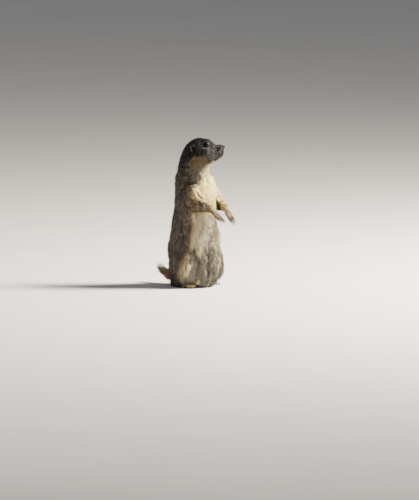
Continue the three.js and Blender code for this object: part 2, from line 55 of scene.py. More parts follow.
# Body: the same sections as the solids, from under the rump to the muzzle. Columns: distance along the body,
# forward, height, tilt, reach to the back or crown, reach to the belly or throat, half width, egg
TRUNK = [
    (0, -8, 0, 0, 43, 32, 36, 0),
    (10, -4, 10, 0, 48.5, 43, 42, 0),
    (27, 0, 27, 0, 50, 53, 45.5, 0),
    (45, 1, 45, 0, 53.5, 54.5, 46, 0),
    (62, -1, 62, 0, 54.5, 54, 46.8, 0),
    (80, -3, 80, 0, 52.5, 51.5, 46.8, 0),
    (100, -3, 100, 0, 48, 48.5, 46, 0),
    (125, -3, 125, 0, 43.5, 44.5, 43, 0),
    (150, -2.5, 150, 0, 40.5, 42, 40, 0),
    (175, -2, 175, 0, 39.5, 42, 37.5, 0),
    (195, -3, 195, 0, 39, 40.5, 35.5, 0),
    (208, -4, 208, 0, 36.5, 37.3, 33, 0),
]
FAN_START = 219.0  # distance along the body of the fan's first section
FAN_STEP = 11.0  # distance along the body that 15 degrees of the fan take up
PIVOT = (38.0, 219.0)  # forward and height of the point in the throat that the fan turns about
# Fan of sections about the throat. Columns: tilt in degrees, near end, far end, half width, egg
HEAD_FAN = [
    (0, 11.5, 74.5, 31.5, 0),
    (15, 12.5, 72.5, 30, 0.03),
    (30, 13.5, 74, 28.5, 0.1),
    (45, 14.5, 75.4, 27.5, 0.16),
    (60, 13.5, 73, 26.5, 0.18),
    (75, 14, 63.4, 24, 0.14),
    (90, 17, 52.3, 17.4, 0.06),
]
MUZZLE = [
    (293, 46, 257, 90, 13.7, 14.2, 14, 0.05),
    (297.5, 50, 259, 90, 10.6, 11.6, 11.4, 0.05),
    (300, 52, 259.8, 90, 6.8, 7.8, 7.8, 0.05),
    (301.2, 52.8, 259.8, 90, 0, 0, 0, 0.05),
]
# Depth of the coat over the skin. Columns: distance along the body, on the back, at the side, on the belly
COAT = np.array([
    (0, 6, 5, 5),
    (60, 5.5, 5, 6),
    (150, 5, 5, 5.5),
    (205, 5, 5, 5),
    (225, 4.5, 4.5, 4),
    (245, 3.5, 4, 3),
    (265, 2.6, 2.6, 2.2),
    (280, 1.8, 1.5, 1.6),
    (292, 1.1, 1, 1),
    (301.2, 0.5, 0.5, 0.6),
], float)
HEAD_TURN = math.radians(28)
TURN_FROM = 185.0  # distance along the body where the head's turn begins
TURN_TO = 250.0  # distance along the body where it is complete
FLAT_ROWS = 9  # rows of the body that close the flat under the rump

# Places on the head are forward, side and height, before the head is turned
EYE = dict(forward=22, side=13.9, height=270.2, radius=5.2)
EAR = dict(forward=-3, side=20.5, height=263, ring=4.6, rise=6, spread=108, root=3.5)
NOSE = dict(forward=50.5, height=265.6, long=5.2, wide=4.7, tall=3.7)
# Line of the mouth: forward and height
MOUTH = np.array([(60, 250.2), (51, 248.6), (45, 245.6), (38, 242.4), (34.5, 241.6)], float)

# Swellings and hollows of the head. Columns: forward, side, height, three reaches, rise
FORMS = [
    (22, 13.5, 277, 9, 7, 4.5, 4.6),  # brow
    (23, 19, 268.5, 8, 6, 6, -1.4),  # eye hollow
    (36, 14, 263, 10, 6, 6.5, -2.0),  # side of the bridge
    (45, 9, 251.5, 7, 5, 5, 1.6),  # whisker pad
    (9, 26, 246, 14, 9, 12, 2.2),  # cheek
    (-4, 23, 262, 7, 6, 8, -1.0),  # hollow before the ear
    (-3, 20.5, 263, 3.2, 4, 3.6, -2.6),  # ear hole
]

# Creases of the neck. Columns: height, depth, middle towards the back, slope
CREASES = [(232, 2.4, 5, 0.15), (219, 1.9, -4, 0.37), (212.5, 2.0, -9, 0.37)]

HAUNCH = dict(side=33, forward=-5, height=42, half=22, long=36.5, tall=46, pitch=6, yaw=12, lean=7)
FOOT = dict(heel=(20, 22), turn=26, sole=33, half=8.4, tall=6.2)
# Toes. Columns: out from the middle, start ahead of the heel, length, spread in degrees, half width
TOES = [
    (-8.6, 20, 10, -16, 2.5),
    (-4.6, 27, 17, -8, 2.9),
    (0, 29, 19, 0, 3),
    (4.4, 27.5, 18, 8, 2.9),
    (8.2, 22, 12, 18, 2.5),
]
# Fingers. Columns: out from the middle, start behind the knuckle, length, spread in degrees, half width
FINGERS = [
    (-6, 5.5, 7.5, -26, 1.7),
    (-4.6, 1.2, 14, -11, 2.1),
    (-1.5, 0, 16, -3, 2.2),
    (1.9, 0.4, 15.2, 5, 2.2),
    (5, 2.4, 12.5, 15, 2),
]
# Arms: points along each, the way its claws point, and how far back the fold of skin in its bend lies
ARMS = {
    "left": dict(shoulder=(28, -7, 190), elbow=(39, -20.5, 156), wrist=(20, -53.5, 150),
                 knuckle=(20, -60.5, 141.5), tip=(21, -65.5, 131), claws=(0.05, -0.8, -0.6), fold=5),
    "right": dict(shoulder=(-27.5, -13, 187), elbow=(-36.5, -20, 157), wrist=(-17.5, -43.5, 151),
                  knuckle=(-16.5, -55, 142), tip=(-16, -67, 131.5), claws=(-0.05, -0.9, -0.4), fold=-3),
}
# Tail: points along it, each with a half width and a half thickness
TAIL = [((0, 36, 15), 11, 10), ((3, 55, 15), 10, 9.5), ((9, 72, 20), 9, 8.5), ((17, 88, 27), 7, 6.5)]


# Curves, directions and grids
def vec(*values):
    """Array of decimal numbers."""
    return np.array(values, float)


def around(count):
    """Angles evenly round a circle, from 0 up to a full turn and without it."""
    return np.linspace(0, TURN, count, endpoint=False)


def bell(*ratios):
    """e to the power of minus the sum of the squares of the ratios: 1 where all of them are 0."""
    return np.exp(sum(-(ratio**2) for ratio in ratios))


def spun(a, b, angle):
    """Two coordinates turned by an angle in their plane."""
    return a * math.cos(angle) - b * math.sin(angle), a * math.sin(angle) + b * math.cos(angle)


def reached(centre, axes, amounts):
    """Points at the given amounts along the axes from a centre."""
    for axis, amount in zip(axes, amounts):
        centre = centre + axis * amount[..., None]
    return centre


def unit(vectors):
    """Each vector divided by its length."""
    return vectors / np.maximum(np.linalg.norm(vectors, axis=-1, keepdims=True), 1e-9)


def smoothstep(x, low, high):
    """3t^2 - 2t^3, where t runs from 0 at low to 1 at high."""
    t = np.clip((x - low) / (high - low), 0, 1)
    return t * t * (3 - 2 * t)


def along(stops, at):
    """Cubic between each two stops, whose slope at a stop is that of the line through its neighbours."""
    x, y = stops[:, 0], stops[:, 1:]
    c = np.clip(np.searchsorted(x, at), 1, len(x) - 1)
    b = c - 1
    a, d = np.maximum(b - 1, 0), np.minimum(c + 1, len(x) - 1)
    span = (x[c] - x[b])[:, None]
    t = (at - x[b])[:, None] / span
    start = (y[c] - y[a]) / (x[c] - x[a])[:, None] * span
    end = (y[d] - y[b]) / (x[d] - x[b])[:, None] * span
    return ((2 * t**3 - 3 * t**2 + 1) * y[b] + (t**3 - 2 * t**2 + t) * start
            + (3 * t**2 - 2 * t**3) * y[c] + (t**3 - t**2) * end)


def turned(forward, side, height, yaw=HEAD_TURN):
    """Point given forward, to the animal's left and up, in a plane turned by yaw about the upright axis."""
    c, s = np.cos(yaw), np.sin(yaw)
    forward, side, height = np.broadcast_arrays(forward, side, height)
    return np.stack([forward * s + side * c, -forward * c + side * s, height], axis=-1).astype(float)


def head_frame(points):
    """Forward, side and height of points, as the turned head has them."""
    c, s = math.cos(HEAD_TURN), math.sin(HEAD_TURN)
    x, y, z = np.moveaxis(points, -1, 0)
    return x * s - y * c, x * c + y * s, z


def ripple(points, size, seed):
    """Smooth noise between about -1 and 1: a mean of seven sine waves in seeded directions, size apart."""
    draw = np.random.default_rng(seed)
    waves = unit(draw.normal(size=(7, 3))) * TURN / (size * draw.uniform(0.7, 1.5, (7, 1)))
    return np.sin(points @ waves.T + draw.uniform(0, TURN, 7)).sum(-1) / 3.2


def fan_sections():
    """Sections of the fan, each centred midway between its near and far ends on a ray from the pivot."""
    rows = []
    for degrees, near, far, half, egg in HEAD_FAN:
        tilt, middle, reach = math.radians(degrees), (near + far) / 2, (far - near) / 2
        rows.append((FAN_START + degrees / 15 * FAN_STEP, PIVOT[0] - middle * math.cos(tilt),
                     PIVOT[1] + middle * math.sin(tilt), degrees, reach, reach, half, egg))
    return rows


SECTIONS = np.array(TRUNK + fan_sections() + MUZZLE, float)


def body_rows():
    """Distances along the body of its surface's rows: from the muzzle to the floor, then the flat's."""
    neck = FAN_START - 8
    crowded = 1 - (1 - np.linspace(0, 1, 211)[1:]) ** 1.25
    upwards = np.concatenate([np.linspace(0, neck, 120), neck + (SECTIONS[-1, 0] - neck) * crowded])
    return np.concatenate([upwards[::-1], np.zeros(FLAT_ROWS)])


BODY_ROW_AT = body_rows()
BODY_ROW_SHARE = np.arange(len(BODY_ROW_AT)) / (len(BODY_ROW_AT) - 1)


class Surface:
    """Closed surface over a grid of points: its triangles, the lie of its hair and each point's place on it.

    Rows run from where hair starts to where it points. The first and last rows are single points, unless the
    surface is a ring, whose last row joins its first."""

    def __init__(self, part, points, ring=False):
        points[..., 2] = np.maximum(points[..., 2], FLOOR)
        rows, cols = points.shape[:2]
        u, v = np.meshgrid(np.arange(cols) / cols, np.arange(rows) / (rows - 1))
        fields = []
        for grid in (points, unit(np.gradient(points, axis=0)), np.stack([u, v], -1)):
            flat = (grid if ring else grid[1:-1]).reshape(-1, grid.shape[-1])
            fields.append(flat if ring else np.vstack([grid[0, :1], flat, grid[-1, :1]]))
        self.points, self.lie, self.place = fields
        self.part = part
        inner, first = (rows, 0) if ring else (rows - 2, 1)
        r = np.arange(inner if ring else inner - 1)[:, None]
        k = np.arange(cols)[None]
        after = (k + 1) % cols
        here, below = first + r * cols, first + (r + 1) % inner * cols
        a, b, c, d = here + k, here + after, below + after, below + k
        faces = [np.stack(corners, -1).reshape(-1, 3) for corners in ((a, b, c), (a, c, d))]
        if not ring:
            k, after, top = k[0], after[0], len(self.points) - 1
            faces.append(np.stack([0 * k, 1 + after, 1 + k], -1))
            faces.append(np.stack([0 * k + top, top - cols + k, top - cols + after], -1))
        self.faces = outward(self.points, np.vstack(faces))


def outward(points, faces):
    """Faces of a closed surface, turned over together where its volume comes out negative."""
    a, b, c = np.moveaxis(points[faces], 1, 0)
    return faces if (np.cross(a, b) * c).sum() > 0 else faces[:, ::-1]


def added(name, data):
    """Object that holds the given data, put in the scene."""
    piece = bpy.data.objects.new(name, data)
    bpy.context.scene.collection.objects.link(piece)
    return piece


def put(name, points, faces):
    """Object of triangles given in millimetres, shaded smooth."""
    mesh = bpy.data.meshes.new(name)
    mesh.vertices.add(len(points))
    mesh.vertices.foreach_set("co", (points * MM).astype(np.float32).ravel())
    mesh.loops.add(faces.size)
    mesh.loops.foreach_set("vertex_index", faces.astype(np.int32).ravel())
    mesh.polygons.add(len(faces))
    mesh.polygons.foreach_set("loop_start", np.arange(0, faces.size, 3, dtype=np.int32))
    mesh.polygons.foreach_set("use_smooth", np.ones(len(faces), bool))
    mesh.update(calc_edges=True)
    return added(name, mesh)


def note(piece, **fields):
    """Stores a number or a vector for each point of the piece, under the given names."""
    for name, values in fields.items():
        kind, slot = ("FLOAT_VECTOR", "vector") if values.ndim > 1 else ("FLOAT", "value")
        field = piece.data.attributes.new(name, kind, "POINT")
        field.data.foreach_set(slot, values.astype(np.float32).ravel())


def joined(name, surfaces):
    """One object of several separate closed surfaces."""
    starts = np.cumsum([0] + [len(s.points) for s in surfaces[:-1]])
    faces = np.vstack([s.faces + start for s, start in zip(surfaces, starts)])
    return put(name, np.vstack([s.points for s in surfaces]), faces)


# Body, limbs, tail and ears
def body_depth(at, over):
    """Depth of the coat: the back's or the belly's and the side's, weighted by sine and cosine squared."""
    back, side, belly = along(COAT, at).T
    return np.where(over > 0, back, belly) * over**2 + side * (1 - over**2)


def mouth_gap(forward, height):
    """Signed distance from the mouth's line in the plane that halves the head, positive above the line."""
    a, b = MOUTH[:-1], MOUTH[1:]
    p = np.stack([forward, height], -1)[..., None, :]
    t = np.clip(((p - a) * (b - a)).sum(-1) / ((b - a) ** 2).sum(-1), 0, 1)
    gap = p - (a + t[..., None] * (b - a))
    away = np.linalg.norm(gap, axis=-1)
    closest = np.argmin(away, axis=-1)[..., None]
    distance, over = [np.take_along_axis(each, closest, -1) for each in (away, gap[..., 1])]
    return (distance * np.sign(over))[..., 0]


def mouth_groove(forward, height):
    """Groove along the mouth's line with a rounded lip on each side: three bells across the distance."""
    gap = mouth_gap(forward, height)
    lips = 0.5 * bell((gap - 1.3) / 0.9) + 0.45 * bell((gap + 1.2) / 0.9)
    return lips - 1.6 * bell(gap / 0.45)


def lips_at(forward, height, half, low, high):
    """1 on the mouth's line, and off it a bell of the given half width, faded out at the mouth's corner."""
    return bell(mouth_gap(forward, height) / half) * smoothstep(forward, low, high)


def body_surface():
    """Trunk, neck and head: at each distance along the body, an egg-shaped ring about the section's middle.

    The ring's point is middle + side * across + reach * up, moved away from the middle by the forms' bells
    and inward by the coat's depth. Rows are crowded on the head, and the last ones close the flat under
    the rump."""
    at = BODY_ROW_AT
    shrink = np.concatenate([np.ones(len(at) - FLAT_ROWS), np.linspace(1, 0, FLAT_ROWS + 1)[1:]])[:, None]
    forward, height, tilt, back, front, half, egg = along(SECTIONS, at).T[..., None]
    yaw = HEAD_TURN * smoothstep(at, TURN_FROM, TURN_TO)[:, None]
    tilt, angle = np.radians(tilt), around(300)[None]
    across, over = np.cos(angle), np.sin(angle)
    side = half * across * (1 - egg * over)
    reach = np.where(over > 0, back, front) * over
    f, h = forward - reach * np.cos(tilt), height + reach * np.sin(tilt)
    rise = -body_depth(at, np.broadcast_to(over, f.shape).T).T
    for ff, fs, fh, rf, rs, rh, up in FORMS:
        rise = rise + up * bell((f - ff) / rf, (np.abs(side) - fs) / rs, (h - fh) / rh)
    rise = rise + mouth_groove(f, h) * smoothstep(f, 33.5, 36)
    cleft = 1.3 * bell(side / 0.8)
    rise = rise - cleft * smoothstep(f, 47, 50) * smoothstep(h, 249, 251)
    middle = turned(forward, 0, height, yaw)
    points = turned(f, side, h, yaw)
    away = unit(points - middle)
    points = points + away * np.minimum(rise, 9)[..., None]
    points = points + away * skin_folds(points, at[:, None])[..., None]
    points[0], points[-1] = middle[0], middle[-1]
    return Surface("body", middle + (points - middle) * shrink[..., None])


def skin_folds(points, at):
    """Furrows of loose skin: bells across the neck's creases, and upright ripples on belly and flank."""
    x, y, z = np.moveaxis(points, -1, 0)
    creases = 0
    for level, deep, middle, slope in CREASES:
        line = z - level - slope * (y - middle) - 1.2 * np.sin(x / 7 + y / 5)
        creases = creases - deep * bell(line / 1.7, (y - middle) / 11) * smoothstep(np.abs(x), 8, 20)
    low = smoothstep(z, 135, 60) * smoothstep(-y, 12, 34)
    upright = ripple(points * vec(1, 1, 0.22), 17, 3) + 0.6 * ripple(points * vec(1, 1, 0.3), 9, 4)
    flank = ripple(points * vec(1, 1, 0.6), 26, 5) * smoothstep(at, 240, 200)
    return creases + 1.7 * low * upright + 0.9 * flank


def shoulder_folds(points):
    """Ridges of fur down and forward over each shoulder: a sine across them, within an egg round it."""
    x, y, z = points.T
    across = -0.41 * np.abs(x) - 0.63 * y + 0.66 * z + 0.9 * ripple(points, 24, 31)
    inside = np.linalg.norm((np.stack([np.abs(x), y, z], -1) - vec(33, -24, 172)) / vec(13, 19, 21), axis=1)
    return 1.7 * np.sin(across * TURN / 6.5) * smoothstep(inside, 1.05, 0.5)


def limb(part, stops, across, cols=44, rows=64, caps=(1.0, 1.0), inset=0.0):
    """Tube with an oval ring along a smooth curve through stops: a point, a half width and a half thickness.

    A ring is centre + width * cos(a) * sideways + thickness * sin(a) * over. At each end it shrinks as the
    cosine of a quarter turn while it moves on by the sine, so the end is rounded."""
    points = np.array([s[0] for s in stops], float)
    steps = np.linalg.norm(np.diff(points, axis=0), axis=1) ** 0.5
    reach = np.concatenate([[0], np.cumsum(steps)]) / steps.sum()
    table = np.column_stack([reach, points, [s[1:] for s in stops]])
    ends = 9
    quarter = np.linspace(0, 1, ends) * TURN / 4
    t = np.concatenate([np.zeros(ends), np.linspace(0, 1, rows - 2 * ends + 2)[1:-1], np.ones(ends)])
    bend = np.concatenate([quarter - TURN / 4, np.zeros(rows - 2 * ends), quarter])[:, None]
    middle = along(table, t)
    centre, width, thick = middle[:, :3], middle[:, 3:4] - inset, middle[:, 4:5] - inset
    before, after = [along(table, np.clip(t + step, 0, 1))[:, :3] for step in (-0.01, 0.01)]
    tangent = unit(after - before)
    sideways = unit(across - tangent * (tangent @ across)[:, None])
    over = np.cross(tangent, sideways)
    cap = np.where(bend < 0, caps[0], caps[1])
    centre = centre + tangent * np.sin(bend) * cap * thick
    a = around(cols)[None, :, None]
    ring = (centre[:, None] + (width * np.cos(bend))[:, None] * np.cos(a) * sideways[:, None]
            + (thick * np.cos(bend))[:, None] * np.sin(a) * over[:, None])
    return Surface(part, ring)


def haunch_surface(side, inset=5.0):
    """Egg from its top down: half-axes times the sine and cosine of two angles, leaned and turned.

    Its upper half leans in towards the body as the square of the height above its middle."""
    b, a = np.linspace(0, math.pi, 70)[:, None], around(90)[None] * -side
    x = (HAUNCH["half"] - inset) * np.cos(a) * np.sin(b)
    y = (HAUNCH["long"] - inset) * np.sin(a) * np.sin(b)
    z = (HAUNCH["tall"] - inset) * np.cos(b)
    y, z = spun(y, z, math.radians(HAUNCH["pitch"]))
    x, y = spun(x, y, side * math.radians(HAUNCH["yaw"]))
    x = x - side * HAUNCH["lean"] * (np.maximum(z, 0) / HAUNCH["tall"]) ** 2
    points = np.stack([x, y, z], -1) + vec(side * HAUNCH["side"], -HAUNCH["forward"], HAUNCH["height"])
    return Surface("haunch", points)


def foot_frame(side):
    """Function that gives the place on a foot at a distance along it, out from it and up."""
    turn = math.radians(FOOT["turn"])
    ahead = vec(side * math.sin(turn), -math.cos(turn), 0)
    out = vec(side * math.cos(turn), math.sin(turn), 0)
    heel = vec(side * FOOT["heel"][0], FOOT["heel"][1], 0)
    return lambda a, o, up: heel + ahead * a + out * o + UP * up


def toe_path(side, toe):
    """Four places along a toe, which arches up and comes down to the floor."""
    at = foot_frame(side)
    out, start, long, spread, _ = toe
    spread = math.radians(spread)
    return [at(start + long * t * math.cos(spread), out + long * t * math.sin(spread), up)
            for t, up in ((0, 4.2), (0.45, 5), (0.8, 4), (1, 3))]


def foot_surfaces(side, inset=0.9):
    """Sole and five toes, each a limb."""
    at = foot_frame(side)
    across = at(0, 1, 0) - at(0, 0, 0)
    sole = [(at(2, 0, 4.5), 6, 5.4), (at(12, 0, 4.2), 7, 5.6),
            (at(24, 0, 4.4), FOOT["half"], FOOT["tall"]), (at(FOOT["sole"], 0, 3.6), FOOT["half"], 4.6)]
    made = [limb("foot", sole, across, 40, 50, inset=inset)]
    for toe in TOES:
        sizes = [(toe[4] * w, t) for w, t in ((1, 3.8), (1.02, 3.3), (0.95, 2.7), (0.72, 2.2))]
        stops = [(p, *s) for p, s in zip(toe_path(side, toe), sizes)]
        made.append(limb("foot", stops, across, 20, 36, inset=inset * 0.5))
    return made


def arm_points(name, *keys):
    """The named points of an arm."""
    return [vec(*ARMS[name][key]) for key in keys]


def finger_path(name, finger):
    """Four places along a finger, which leaves the knuckle in line with the hand and bends down."""
    wrist, knuckle, tip = arm_points(name, "wrist", "knuckle", "tip")
    out, back, long, spread, _ = finger
    down, hand = unit(tip - knuckle), unit(knuckle - wrist)
    side = vec(SIDES[name], 0, 0)
    root = knuckle + side * out - hand * back
    spread = math.tan(math.radians(spread))
    places = []
    for t in (0, 0.4, 0.75, 1):
        mix = min(1, 0.45 + t)
        places.append(root + unit(hand * (1 - mix) + down * mix) * long * t + side * spread * long * t)
    return places


def arm_surfaces(name):
    """Upper arm, forearm, the fold of loose skin inside their bend, palm and fingers, each a limb.

    On the arm the hair lies down the upper arm and turns at the elbow to run along the forearm."""
    shoulder, elbow, wrist, knuckle = arm_points(name, "shoulder", "elbow", "wrist", "knuckle")
    side, x_axis = SIDES[name], vec(1, 0, 0)
    down, ahead = unit(elbow - shoulder), unit(wrist - elbow)
    upper = [(shoulder + vec(-side * 13, 7, 9), 9, 10), (shoulder + vec(-side * 3, 1, 0), 11, 12),
             (shoulder * 0.5 + elbow * 0.5 + vec(side * 1.5, 1, 0), 10.8, 12), (elbow, 8.8, 9.4)]
    fore = [(elbow - ahead * 2, 8.2, 9), (elbow * 0.6 + wrist * 0.4 + UP * 1.5, 7.4, 8.8),
            (elbow * 0.24 + wrist * 0.76 + UP * 0.5, 5.6, 6.2), (wrist, 5.2, 4.8)]
    bend, back = (shoulder + elbow + wrist) / 3, ARMS[name]["fold"]
    fold = [(shoulder + vec(0, back, 0), 7, 8),
            ((bend + shoulder) / 2 + vec(side * 2, back + 3, 0), 7.6, 8.4),
            (bend + vec(side * 1.5, back, 0), 6.4, 7.2),
            (elbow * 0.35 + wrist * 0.65 + UP, 4.8, 5.4)]
    palm = [(wrist * 1.25 - knuckle * 0.25, 5, 4.4), (wrist * 0.6 + knuckle * 0.4, 5.8, 4), (knuckle, 6.4, 3)]
    made = [limb("upper_arm", upper, x_axis, 60, 80), limb("forearm", fore, np.cross(UP, ahead), 48, 70),
            limb("upper_arm", fold, x_axis, 48, 60)]
    for part in made:
        bent = smoothstep((part.points - elbow) @ unit(down + ahead), -9, 7)[:, None]
        part.lie = unit(down * (1 - bent) + ahead * bent)
    made.append(limb("hand", palm, x_axis, 36, 40, caps=(0.6, 0.8)))
    for finger in FINGERS:
        sizes = [(finger[4] * w - 0.3, finger[4] * t - 0.3)
                 for w, t in ((1, 1.1), (1.08, 1.1), (0.95, 0.95), (0.8, 0.8))]
        stops = [(p, *s) for p, s in zip(finger_path(name, finger), sizes)]
        made.append(limb("hand", stops, x_axis, 20, 36))
    return made


def ear_surface(side):
    """Thin curled wall: a flattened oval section, root to rim and back, carried round the ear hole on an arc.

    The rim stands highest at the middle of the arc, as the cosine of the angle, and flares out there. The
    hair lies outwards and back."""
    hole = turned(EAR["forward"], side * EAR["side"], EAR["height"])
    out, ahead = unit(turned(0.1, side, 0.25)), turned(1, 0, 0)
    spread, root = math.radians(EAR["spread"]), EAR["root"]
    v, angle = np.linspace(0, 1, 60)[:, None], around(36)[None]
    arc = -spread + 2 * spread * v
    crest = np.cos(arc / spread * 1.35)
    part = (1 - np.cos(angle)) / 2
    pinch = np.sqrt(np.clip(np.minimum(v, 1 - v) * 9, 0, 1))
    thick = 1.5 * (1 - 0.5 * part) * np.sin(angle)
    flare = EAR["ring"] + 2.4 * part * crest + thick * pinch
    rise = -root + (root + 0.5 + EAR["rise"] * crest) * part * pinch + (1 - pinch) * 1.6
    bearing = math.pi + arc - 0.25
    amounts = (rise, flare * np.cos(bearing) * 0.82, flare * np.sin(bearing) * 1.12)
    points = reached(hole, (out, ahead, UP), amounts)
    points[0], points[-1] = points[0].mean(0), points[-1].mean(0)
    made = Surface("ear", points)
    made.lie = np.broadcast_to(unit(out * 0.8 - ahead * 0.6), made.points.shape)
    return made


def eye_axes(side):
    """The eye's centre and its outward, forward and upward directions."""
    out = unit(turned(0.28, side, 0.28))
    ahead = unit(turned(1, 0, 0) - out * (turned(1, 0, 0) @ out))
    up = unit(np.cross(out, ahead) * -side)
    return turned(EYE["forward"], side * EYE["side"], EYE["height"]), out, ahead, up


def lid_surface(side):
    """Lids: a ring round the eye, a circle drawn out to a corner in front and behind, thickest above.

    The ring's middle lies on a ball a little larger than the eye."""
    centre, *axes = eye_axes(side)
    a, b = around(90)[:, None], around(20)[None]
    bar = 0.65 + 0.2 * np.sin(a)
    wide, tall, ball = 5.0 + 0.7 * np.cos(a) ** 8, 4.1, 5.5
    height = np.sqrt(np.maximum(ball**2 - (wide * np.cos(a)) ** 2 - (tall * np.sin(a)) ** 2, 3.2))
    amounts = (height + bar * np.sin(b), (wide + bar * np.cos(b)) * np.cos(a),
               (tall + bar * np.cos(b)) * np.sin(a))
    return Surface("lid", reached(centre, axes, amounts), ring=True)


def eye_surface(side):
    """Ball with a bulged cornea: the radius grows by a bell about the outward direction."""
    centre, *axes = eye_axes(side)
    b, a = np.linspace(0, math.pi, 48)[:, None], around(64)[None]
    radius = EYE["radius"] * (1 + 0.05 * bell(b / 0.7))
    amounts = (radius * np.cos(b), radius * np.sin(b) * np.cos(a), radius * np.sin(b) * np.sin(a))
    return Surface("eye", reached(centre, axes, amounts))


def nose_surface():
    """Nose pad: an egg dented by two comma-shaped nostrils and a groove below its middle, all bells."""
    b, a = np.linspace(0, math.pi, 70)[:, None], around(96)[None]
    f, s, h = np.cos(b), np.sin(b) * np.cos(a), np.sin(b) * np.sin(a)
    hole = 0.42 * bell((np.abs(s) - 0.42) / 0.17, (h + 0.12) / 0.2) * (f > 0)
    comma = 0.26 * bell((np.abs(s) - 0.72) / 0.16, (h - 0.12) / 0.15) * (f > -0.2)
    groove = 0.12 * bell(s / 0.07) * smoothstep(h, 0.25, -0.3) * (f > 0)
    wing = 0.07 * bell((np.abs(s) - 0.62) / 0.2, (h + 0.1) / 0.5) * (f > 0)
    r = 1 - hole - comma - groove + wing
    forward, height = NOSE["forward"] + NOSE["long"] * f * r, NOSE["height"] + NOSE["tall"] * h * r
    return Surface("nose", turned(forward, NOSE["wide"] * s * r, height))


def claw_surface(root, ahead, down, long, half):
    """Claw: a limb that tapers to a point while it bends down as the square of the distance."""
    def at(t):
        return root + ahead * long * t + down * long * 0.32 * t * t
    stops = [(at(-0.2), half * 0.8, half), (at(0.3), half * 0.85, half * 1.05),
             (at(0.65), half * 0.6, half * 0.8), (at(1), 0.16, 0.16)]
    return limb("claw", stops, np.cross(ahead, down), 16, 40)


def foot_claws(side):
    """A claw on each toe, which points on from the toe's end and a little down."""
    made = []
    for toe in TOES:
        path = toe_path(side, toe)
        ahead = path[3] - path[2]
        made.append(claw_surface(path[3], unit(vec(ahead[0], ahead[1], -0.6)), -UP, 8, 1.35))
    return made


def hand_claws(name):
    """A claw on each finger, between the finger's way and the arm's for its claws; the first is short."""
    made = []
    for i, finger in enumerate(FINGERS):
        path = finger_path(name, finger)
        ahead = unit(unit(path[3] - path[2]) * 0.4 + vec(*ARMS[name]["claws"]) * 0.6)
        long, half = (10, 1.15) if i else (4.5, 0.95)
        made.append(claw_surface(path[3], ahead, vec(0, 0.35, -0.94), long, half))
    return made


# Skin: every flesh surface joined into one, softened where they meet
def union(name, surfaces):
    """One closed skin from overlapping closed surfaces, as corner points in millimetres and triangles."""
    base, *rest = [put(f"{name}_{i}", s.points, s.faces) for i, s in enumerate(surfaces)]
    hoard = bpy.data.collections.new(name)
    for other in rest:
        hoard.objects.link(other)
    cut = base.modifiers.new("union", "BOOLEAN")
    cut.operation, cut.operand_type, cut.collection, cut.solver = "UNION", "COLLECTION", hoard, "MANIFOLD"
    made = base.evaluated_get(bpy.context.evaluated_depsgraph_get()).to_mesh()
    made.calc_loop_triangles()
    points = np.empty(len(made.vertices) * 3, np.float32)
    made.vertices.foreach_get("co", points)
    faces = np.empty(len(made.loop_triangles) * 3, np.int32)
    made.loop_triangles.foreach_get("vertices", faces)
    base.to_mesh_clear()
    for piece in [base, *rest]:
        mesh = piece.data
        bpy.data.objects.remove(piece)
        bpy.data.meshes.remove(mesh)
    bpy.data.collections.remove(hoard)
    return points.reshape(-1, 3).astype(float) / MM, faces.reshape(-1, 3)


def nearest(points, targets):
    """Index of and distance to the nearest of the points, for each target."""
    tree = KDTree(len(points))
    for i, p in enumerate(points):
        tree.insert(p, i)
    tree.balance()
    found = [tree.find(t)[1:] for t in targets]
    return np.array([f[0] for f in found]), np.array([f[1] for f in found])


def edges_of(points, faces):
    """Each edge of the triangles once, as two point numbers."""
    pairs = np.vstack([faces[:, [0, 1]], faces[:, [1, 2]], faces[:, [2, 0]]])
    ends = np.sort(pairs, axis=1).astype(np.int64)
    keys = np.unique(ends[:, 0] * len(points) + ends[:, 1])
    return np.stack([keys // len(points), keys % len(points)], 1)


def even_out(values, edges, weight, rounds):
    """Values moved towards the mean of their neighbours', each by its weight, again and again."""
    a, b = edges[(weight[edges] > 0).any(1)].T
    count = len(values)
    degree = np.bincount(a, minlength=count) + np.bincount(b, minlength=count)
    weight = (weight * (degree > 0))[:, None]
    degree = np.maximum(degree, 1)[:, None]
    for _ in range(rounds):
        total = [np.bincount(a, v[b], count) + np.bincount(b, v[a], count) for v in values.T]
        values = values + weight * (np.stack(total, -1) / degree - values)
    return values


def normals_of(points, faces):
    """Each point's outward direction: the mean of its triangles', weighted by their areas."""
    a, b, c = np.moveaxis(points[faces], 1, 0)
    cross = np.cross(b - a, c - a)
    sums = [sum(np.bincount(faces[:, k], axis, len(points)) for k in range(3)) for axis in cross.T]
    return unit(np.stack(sums, -1))


# How far from a seam the skin is softened; between two parts it is the geometric mean of theirs
SEAM_REACH = {"body": 6.0, "haunch": 11.0, "upper_arm": 7.0, "forearm": 5.0, "hand": 0.8, "foot": 1.0,
              "tail": 5.0, "ear": 1.6, "lid": 0.15}
ZONES = (["upper_arm", "forearm"], ["hand", "foot"], ["tail"])
ON_SURFACE = 0.002  # a point this near to a surface's own point is that point


def seam_reach(points, edges, part, seam):
    """Each point's distance from the nearest seam point, and how far that seam's softening reaches."""
    own = np.array([SEAM_REACH[p] for p in part])
    least, most = own.copy(), own.copy()
    for a, b in (edges.T, edges.T[::-1]):
        np.minimum.at(least, a, own[b])
        np.maximum.at(most, a, own[b])
    closest, away = nearest(points[seam], points)
    return away, np.sqrt(least * most)[seam][closest]


